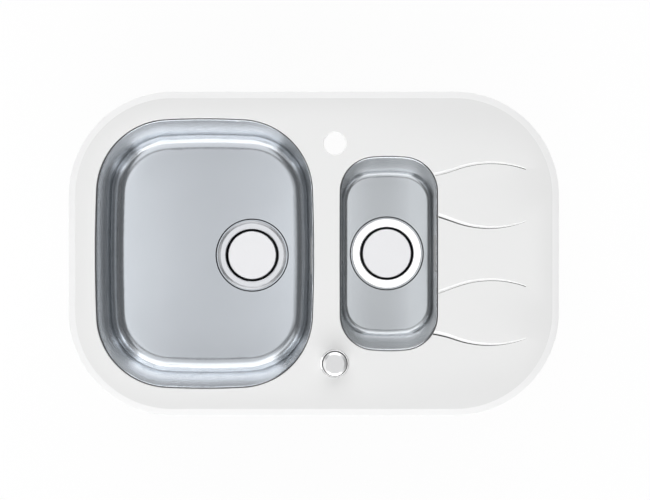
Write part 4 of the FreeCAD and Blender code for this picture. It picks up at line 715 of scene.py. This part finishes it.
# Wastes: a pressed strainer cup with a wide flange stands in each floor on a rubber seal. The main
# flange has a scribed line and a bevel; the half bowl's is almost flat and smoother. The main
# flange's tone is painted darker and the half's lighter, as painted shade and light. Each
# profile runs from the rim inwards, as radius and level over the bowl's floor.
# Flange tones: the main one is painted darker, the half one lighter, as painted shade and light.
FLANGE_PAINTED_TONES = {"main": (0.56, 0.57, 0.592), "half": (0.88, 0.88, 0.885)}
FLANGE_ROUGHNESS = {"main": 0.20, "half": 0.14}
# The cup's inside is painted near black as painted shade, so the gap round the cover reads dark.
CUP_PAINTED_SHADE = (0.10, 0.105, 0.11)
CUP_ROUGHNESS = 0.5
FLANGE_TOPS = {
    "main": ((0.0570, -0.0019), (0.0569, -0.0015), (0.0566, -0.0013), (0.0564, -0.00126),
             (0.0532, -0.00074), (0.0530, -0.00072), (0.0528, -0.00090), (0.0525, -0.00090),
             (0.0523, -0.00074), (0.0521, -0.00074), (0.0452, -0.00080), (0.0450, -0.00081)),
    "half": ((0.0570, -0.0019), (0.0569, -0.0015), (0.0567, -0.0012), (0.0565, -0.00106),
             (0.0562, -0.00100), (0.0560, -0.00099), (0.0455, -0.00090), (0.0450, -0.00091)),
}
DRAIN_TOP = -0.0275
DRAIN_UNDER = -0.0283
CUP_MOUTH = (0.0434, -0.0026)
CUP_PROFILE = ((0.0411, -0.0240), (0.0310, -0.0240), (0.0275, DRAIN_TOP), (0.0043, DRAIN_TOP),
               (0.0043, DRAIN_UNDER), (0.0275, DRAIN_UNDER), (0.0310, -0.0248), (0.0419, -0.0248),
               (0.0443, -0.0036), (0.0460, -0.0020))
CUP_SLOT = 1
CUP_SIDES = 3
CUP_CREASE = math.radians(35)
ROLL_STEPS = 6
TURNED_STEPS = 128
DRAIN_COUNT = 8
DRAIN_RADIUS = 0.0045
DRAIN_RING = 0.0159
DRAIN_STEPS = 32


def turned_rings(mesh, profile, x, y, steps):
    """Closes a profile of radii and levels round an upright axis and gives the faces by profile step."""
    rings = [lay_ring(mesh, circle(x, y, radius, steps), level) for radius, level in profile]
    return [wall_between(mesh, low, high) for low, high in zip(rings, rings[1:] + rings[:1])]


def round_bar(x, y, radius, low, high, steps):
    """A plain round cutter between two levels."""
    mesh = bmesh.new()
    rings = [lay_ring(mesh, circle(x, y, radius, steps), level) for level in (low, high)]
    wall_between(mesh, *rings)
    for ring in rings:
        mesh.faces.new(ring)
    return to_object(mesh, "round_bar")


def turned_lines_group():
    """The normal of a face turned on a lathe, with fine rings round a centre."""
    group, given, result = new_group("turned_lines", {
        "Centre": ("Vector", (0.0, 0.0, 0.0)), "Scale": ("Float", 4000.0), "Depth": ("Float", 0.00001)},
        {"Normal": "Vector", "Ring": "Float"})
    place = add_node(group, "ShaderNodeTexCoord").outputs["Object"]
    arm = add_node(group, "ShaderNodeVectorMath", {0: place, 1: given.outputs["Centre"]},
                   operation="SUBTRACT")
    flat = add_node(group, "ShaderNodeVectorMath", {0: arm.outputs[0], 1: (1, 1, 0)}, operation="MULTIPLY")
    length = add_node(group, "ShaderNodeVectorMath", {0: flat.outputs[0]}, operation="LENGTH")
    rings = add_node(group, "ShaderNodeTexNoise", {
        "W": length.outputs["Value"], "Scale": given.outputs["Scale"], "Detail": 1.0},
        noise_dimensions="1D")
    bump = add_node(group, "ShaderNodeBump", {
        "Height": rings.outputs[0], "Distance": given.outputs["Depth"], "Strength": 1.0})
    group.links.new(bump.outputs[0], result.inputs["Normal"])
    group.links.new(rings.outputs[0], result.inputs["Ring"])
    return group


TURNED_LINES = turned_lines_group()


def turned_metal(name, colour, roughness, centre):
    """Metal turned or spun round an upright axis, with fine rings and slightly worn edges."""
    material, tree, surface = new_finish(name)
    lines = use_group(tree, TURNED_LINES, Centre=centre, Scale=3500.0, Depth=0.000004)
    ringed = add_node(tree, "ShaderNodeMapRange", {
        "Value": lines.outputs["Ring"], "To Min": 0.97, "To Max": 1.03})
    tone = worn_edges(tree, ringed.outputs[0], radius=0.0004, gain=0.1)
    tree.links.new(tinted(tree, colour, tone), surface.inputs["Base Color"])
    tree.links.new(lines.outputs["Normal"], surface.inputs["Normal"])
    surface.inputs["Roughness"].default_value = roughness
    surface.inputs["Metallic"].default_value = 1
    return material


def axis_of(name):
    """Where the upright axis of a round solid stands."""
    low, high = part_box(name)
    return (low.x + high.x) / 2, (low.y + high.y) / 2


def middle_of(name):
    """The middle of a carried-over solid, in its own coordinates."""
    low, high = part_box(name)
    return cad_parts[name].matrix_world.inverted() @ ((low + high) / 2)


def strainer_cup(prefix, x, y, floor):
    """Flange, rolled mouth, tapered cup and drain plate, whose cup uses the second material, a near
    black painted shade.
    """
    mesh = bmesh.new()
    profile = [(radius, floor + level) for radius, level in FLANGE_TOPS[prefix]]
    last_radius, last_level = profile[-1]
    mouth_radius, mouth_drop = CUP_MOUTH
    for i in range(1, ROLL_STEPS + 1):
        turn = math.pi / 2 * i / ROLL_STEPS
        profile.append((last_radius - (last_radius - mouth_radius) * math.sin(turn),
                        last_level - (last_level - floor - mouth_drop) * (1 - math.cos(turn))))
    roll_end = len(profile) - 1
    profile += [(radius, floor + level) for radius, level in CUP_PROFILE]
    for step, faces in enumerate(turned_rings(mesh, profile, x, y, TURNED_STEPS)):
        for face in faces:
            face.material_index = CUP_SLOT if roll_end <= step < roll_end + CUP_SIDES else 0
    cup = to_object(mesh, prefix + "_strainer_cup")
    plate = floor + DRAIN_TOP
    for drain_x, drain_y in circle(x, y, DRAIN_RING, DRAIN_COUNT):
        carve(cup, round_bar(drain_x, drain_y, DRAIN_RADIUS, plate - DRAIN_RADIUS, plate + DRAIN_RADIUS,
                             DRAIN_STEPS))
    return cup


for prefix in ("main", "half"):
    x, y = axis_of(prefix + "_waste_flange")
    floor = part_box(prefix + "_waste_flange")[0].z - DRAIN_UNDER
    cup = strainer_cup(prefix, x, y, floor)
    for name, colour, roughness in (
            (prefix + "_flange_painted_tone", FLANGE_PAINTED_TONES[prefix], FLANGE_ROUGHNESS[prefix]),
            (prefix + "_cup_painted_shade", CUP_PAINTED_SHADE, CUP_ROUGHNESS)):
        cup.data.materials.append(turned_metal(name, colour, roughness, (x, y, 0)))
    smooth(cup, CUP_CREASE)
    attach(cup, "sink")
    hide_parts(prefix + "_waste_flange")


# Covers and baskets: a spun cover of satin steel with a bright turned-down edge lies flush in each
# flange, over a basket pressed from perforated sheet with a rubber plug under it.
COVER_STEEL = (0.745, 0.745, 0.76)
COVER_ROUGHNESS = 0.26
BASKET_STEEL = (0.60, 0.61, 0.63)
BASKET_ROUGHNESS = 0.28
BLACK_RUBBER = (0.022, 0.022, 0.023)
RUBBER_ROUGHNESS = 0.55

black_rubber = rubbery("black_rubber", BLACK_RUBBER, RUBBER_ROUGHNESS)
for prefix in ("main", "half"):
    cover = prefix + "_cover"
    basket = prefix + "_basket"
    dress_node(cover, turned_metal(cover + "_steel", COVER_STEEL, COVER_ROUGHNESS, middle_of(cover)))
    dress_node(basket, turned_metal(basket + "_steel", BASKET_STEEL, BASKET_ROUGHNESS, middle_of(basket)))
    for seal in ("_plug_seal", "_flange_seal", "_under_seal"):
        dress_node(prefix + seal, black_rubber)


# Waste bodies: each is moulded in white plastic, drawn up by a steel screw from inside the cup, and
# ends in a tail with an outer pipe thread for the trap's nut.
MOULDED_WHITE = (0.78, 0.78, 0.76)
MOULDED_ROUGHNESS = 0.38
SCREW_STEEL = (0.62, 0.62, 0.63)
SCREW_ROUGHNESS = 0.22
TAIL_RADIUS = 0.0239
THREAD_PITCH = 0.0023
THREAD_RISE = 0.0005
THREAD_SINK = 0.0004
THREAD_LENGTH = 0.0125
THREAD_END = 0.0008
THREAD_STEPS = 48
THREAD_CREASE = math.radians(30)
ROOT_DIVISOR = 2.1
CREST_DIVISOR = 16


def moulded(name, colour, roughness, grain_depth=0.00002):
    """Injection moulded plastic with a fine eroded grain and an uneven tone."""
    material, tree, surface = new_finish(name)
    drift = use_group(tree, DRIFTING_TONE, Scale=25.0, Amount=0.05)
    tone = worn_edges(tree, drift.outputs["Tone"], radius=0.0005, gain=0.12)
    tree.links.new(tinted(tree, colour, tone), surface.inputs["Base Color"])
    surface.inputs["Roughness"].default_value = roughness
    grain = use_group(tree, FINE_GRAIN, Scale=1200.0, Depth=grain_depth)
    tree.links.new(grain.outputs["Normal"], surface.inputs["Normal"])
    return material


def add_thread(mesh, x, y, low, high, core, crest, pitch, steps):
    """A helical ridge with a triangular section, from one level to another round an upright core."""
    count = round((high - low - pitch) / pitch * steps)
    root, top = pitch / ROOT_DIVISOR, pitch / CREST_DIVISOR
    sections = []
    for i in range(count + 1):
        turn = 2 * math.pi * i / steps
        level = low + pitch * (0.5 + i / steps)
        sections.append([
            mesh.verts.new((x + radius * math.cos(turn), y + radius * math.sin(turn), level + rise))
            for radius, rise in ((core, -root), (crest, -top), (crest, top), (core, root))])
    for near, far in zip(sections, sections[1:]):
        wall_between(mesh, near, far)
    mesh.faces.new(sections[0])
    mesh.faces.new(sections[-1])


white_plastic = moulded("white_moulding", MOULDED_WHITE, MOULDED_ROUGHNESS)
for prefix in ("main", "half"):
    body = prefix + "_waste_body"
    screw = prefix + "_clamp_screw"
    dress_node(body, white_plastic)
    dress_node(screw, turned_metal(screw + "_steel", SCREW_STEEL, SCREW_ROUGHNESS, middle_of(screw)))
    x, y = axis_of(prefix + "_under_seal")
    tail_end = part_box(body)[0].z + THREAD_END
    mesh = bmesh.new()
    add_thread(mesh, x, y, tail_end, tail_end + THREAD_LENGTH, TAIL_RADIUS - THREAD_SINK,
               TAIL_RADIUS + THREAD_RISE, THREAD_PITCH, THREAD_STEPS)
    thread = to_object(mesh, prefix + "_tail_thread")
    thread.data.materials.append(white_plastic)
    smooth(thread, THREAD_CREASE)
    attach(thread, "sink")


# Overflows: a pressed steel bezel closes the slot in each bowl's right wall, with a rubber gasket,
# a moulded hood and a bent pipe down to the waste behind it.
# The bezel's steel tone is painted dark, as painted shade of the wall it sits in.
BEZEL_SHADED_STEEL = (0.30, 0.305, 0.31)
BEZEL_ROUGHNESS = 0.25


def polished_steel(name, colour, roughness):
    """Pressed and polished sheet, with light haze and lighter edges."""
    material, tree, surface = new_finish(name)
    drift = use_group(tree, DRIFTING_TONE, Scale=40.0, Amount=0.04)
    tone = worn_edges(tree, drift.outputs["Tone"], radius=0.0006, gain=0.15)
    tree.links.new(tinted(tree, colour, tone), surface.inputs["Base Color"])
    grain = use_group(tree, FINE_GRAIN, Scale=1500.0, Depth=0.000004)
    tree.links.new(grain.outputs["Normal"], surface.inputs["Normal"])
    surface.inputs["Roughness"].default_value = roughness
    surface.inputs["Metallic"].default_value = 1
    return material


bezel_painted_shade_steel = polished_steel("bezel_painted_shade_steel", BEZEL_SHADED_STEEL, BEZEL_ROUGHNESS)
for prefix in ("main", "half"):
    dress_node(prefix + "_overflow_cover", bezel_painted_shade_steel)
    dress_node(prefix + "_overflow_gasket", black_rubber)
    dress_node(prefix + "_overflow_body", white_plastic)
    dress_node(prefix + "_overflow_pipe", white_plastic)


# Control knob: a satin chromed cap on a brass spindle, over a polished base ring. A thin black
# ring round its foot is painted shadow for the gap between cap and base. Below the glass a nut
# holds the shank, and a housing covers the cable drum.
KNOB_CHROME = (0.80, 0.80, 0.805)
KNOB_ROUGHNESS = 0.4
BASE_CHROME = (0.93, 0.93, 0.935)
BASE_ROUGHNESS = 0.17
GRUB_ROUGHNESS = 0.3
BRASS = (0.74, 0.58, 0.30)
BRASS_ROUGHNESS = 0.25
BLACK_PLASTIC = (0.030, 0.031, 0.033)
PLASTIC_ROUGHNESS = 0.42
# The black ring round the knob's foot stands as painted shadow.
SHADOW_RING_GAP = 0.0001
SHADOW_RING_WIDTH = 0.0018
SHADOW_RING_RISE = 0.0005
SHADOW_RING_STEPS = 96
SHADOW_RING_CREASE = math.radians(50)

for name, finish, colour, roughness in (
        ("control_knob", "knob_chrome", KNOB_CHROME, KNOB_ROUGHNESS),
        ("knob_base", "base_chrome", BASE_CHROME, BASE_ROUGHNESS),
        ("knob_spindle", "spindle_brass", BRASS, BRASS_ROUGHNESS)):
    dress_node(name, turned_metal(finish, colour, roughness, middle_of(name)))
dress_node("knob_grub_screw", polished_steel("grub_steel", SCREW_STEEL, GRUB_ROUGHNESS))
dress_node("knob_washer", black_rubber)
black_plastic = moulded("black_moulding", BLACK_PLASTIC, PLASTIC_ROUGHNESS)
for name in ("knob_nut", "knob_housing", "housing_lid", "cable_drum"):
    dress_node(name, black_plastic)

knob_low, knob_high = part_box("control_knob")
base_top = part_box("knob_base")[1].z
foot = (knob_high.x - knob_low.x) / 2 + SHADOW_RING_GAP
shadow_ring_mesh = bmesh.new()
turned_rings(shadow_ring_mesh, (
    (foot, base_top - SHADOW_RING_GAP), (foot + SHADOW_RING_WIDTH, base_top - SHADOW_RING_GAP),
    (foot + SHADOW_RING_WIDTH, base_top + SHADOW_RING_RISE / 2), (foot + SHADOW_RING_WIDTH / 2, base_top + SHADOW_RING_RISE),
    (foot, base_top + SHADOW_RING_RISE)), *axis_of("control_knob"), SHADOW_RING_STEPS)
shadow_ring = to_object(shadow_ring_mesh, "knob_shadow_ring")
shadow_ring.data.materials.append(black_rubber)
smooth(shadow_ring, SHADOW_RING_CREASE)
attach(shadow_ring, "sink")


# Pop-up works under the main waste: a brass lever with its crank turns in a moulded gland and
# pushes a brass pin up under the basket.
LEVER_ROUGHNESS = 0.3

dress_node("lift_lever", polished_steel("lever_brass", BRASS, LEVER_ROUGHNESS))
dress_node("lift_pin", turned_metal("pin_brass", BRASS, BRASS_ROUGHNESS, middle_of("lift_pin")))
dress_node("cable_gland", black_plastic)


# Carrier and rim: a folded tray of zinc coated sheet is bonded under the glass and carries the
# bowls. A soft seal runs round the rim, and bitumen pads deaden the bowl floors.
ZINC_SHEET = (0.50, 0.51, 0.525)
SHEET_ROUGHNESS = 0.38
SHEET_SPANGLE = 90.0
SPANGLE_SHEEN = (0.8, 1.25)
FOAM_GREY = (0.20, 0.20, 0.205)
FOAM_ROUGHNESS = 0.75
PAD_BLACK = (0.028, 0.027, 0.026)
PAD_ROUGHNESS = 0.8
PAD_GRAIN = 0.0002


def zinc_coated(name, colour, roughness, scale):
    """Zinc coating with crystal spangles that differ in tone and sheen."""
    material, tree, surface = new_finish(name)
    place = add_node(tree, "ShaderNodeTexCoord").outputs["Object"]
    crystals = add_node(tree, "ShaderNodeTexVoronoi", {"Vector": place, "Scale": scale})
    parts = add_node(tree, "ShaderNodeSeparateColor", {0: crystals.outputs["Color"]})
    spangles = add_node(tree, "ShaderNodeMapRange", {
        "Value": parts.outputs[0], "To Min": 0.85, "To Max": 1.15})
    tone = worn_edges(tree, spangles.outputs[0], radius=0.0006, gain=0.2)
    tree.links.new(tinted(tree, colour, tone), surface.inputs["Base Color"])
    smoothest, roughest = (roughness * share for share in SPANGLE_SHEEN)
    sheen = add_node(tree, "ShaderNodeMapRange", {
        "Value": parts.outputs[1], "To Min": smoothest, "To Max": roughest})
    tree.links.new(sheen.outputs[0], surface.inputs["Roughness"])
    grain = use_group(tree, FINE_GRAIN, Scale=800.0, Depth=0.00001)
    tree.links.new(grain.outputs["Normal"], surface.inputs["Normal"])
    surface.inputs["Metallic"].default_value = 1
    return material


dress_node("carrier_tray", zinc_coated("zinc_sheet", ZINC_SHEET, SHEET_ROUGHNESS, SHEET_SPANGLE))
dress_node("rim_seal", rubbery("rim_seal_foam", FOAM_GREY, FOAM_ROUGHNESS))
pad_sheet = moulded("bitumen_pad", PAD_BLACK, PAD_ROUGHNESS, PAD_GRAIN)
dress_node("main_sound_pads", pad_sheet)
dress_node("half_sound_pads", pad_sheet)


# Clips: six threaded studs are welded under the tray by their feet. A wing nut on each draws a
# bent claw up against the worktop.
ZINC_PLATE = (0.60, 0.60, 0.585)
PLATE_ROUGHNESS = 0.28
PLATE_SPANGLE = 500.0
CLIP_COUNT = 6
STUD_RADIUS = 0.0025
STUD_FOOT = 0.0015
STUD_CORE = 0.0021
STUD_PITCH = 0.0008
STUD_PLAIN = 0.008
STUD_LEAD = 0.0006
STUD_SINK = STUD_LEAD / 10
STUD_STEPS = 14

zinc_plate = zinc_coated("zinc_plate", ZINC_PLATE, PLATE_ROUGHNESS, PLATE_SPANGLE)
stud_low, stud_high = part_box("clip_studs")
studs = bmesh.new()
for number in range(1, CLIP_COUNT + 1):
    x, y = axis_of("wing_nut_" + str(number))
    foot_radius = stud_high.y - abs(y)
    foot = stud_high.z - STUD_FOOT
    thread_top = foot - STUD_PLAIN
    turned_rings(studs, (
        (STUD_LEAD, stud_high.z), (foot_radius, stud_high.z), (foot_radius, foot + STUD_LEAD),
        (foot_radius - STUD_LEAD, foot), (STUD_RADIUS, foot), (STUD_RADIUS, thread_top),
        (STUD_CORE, thread_top - STUD_LEAD), (STUD_CORE, stud_low.z + STUD_LEAD),
        (STUD_CORE - STUD_LEAD, stud_low.z), (STUD_LEAD, stud_low.z)), x, y, 2 * STUD_STEPS)
    add_thread(studs, x, y, stud_low.z + STUD_LEAD, thread_top, STUD_CORE - STUD_SINK, STUD_RADIUS,
               STUD_PITCH, STUD_STEPS)
    dress_node("wing_nut_" + str(number), zinc_plate)
    dress_node("clip_claw_" + str(number), zinc_plate)
threaded_studs = to_object(studs, "threaded_studs")
threaded_studs.data.materials.append(zinc_plate)
smooth(threaded_studs, THREAD_CREASE)
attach(threaded_studs, "sink")
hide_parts("clip_studs")
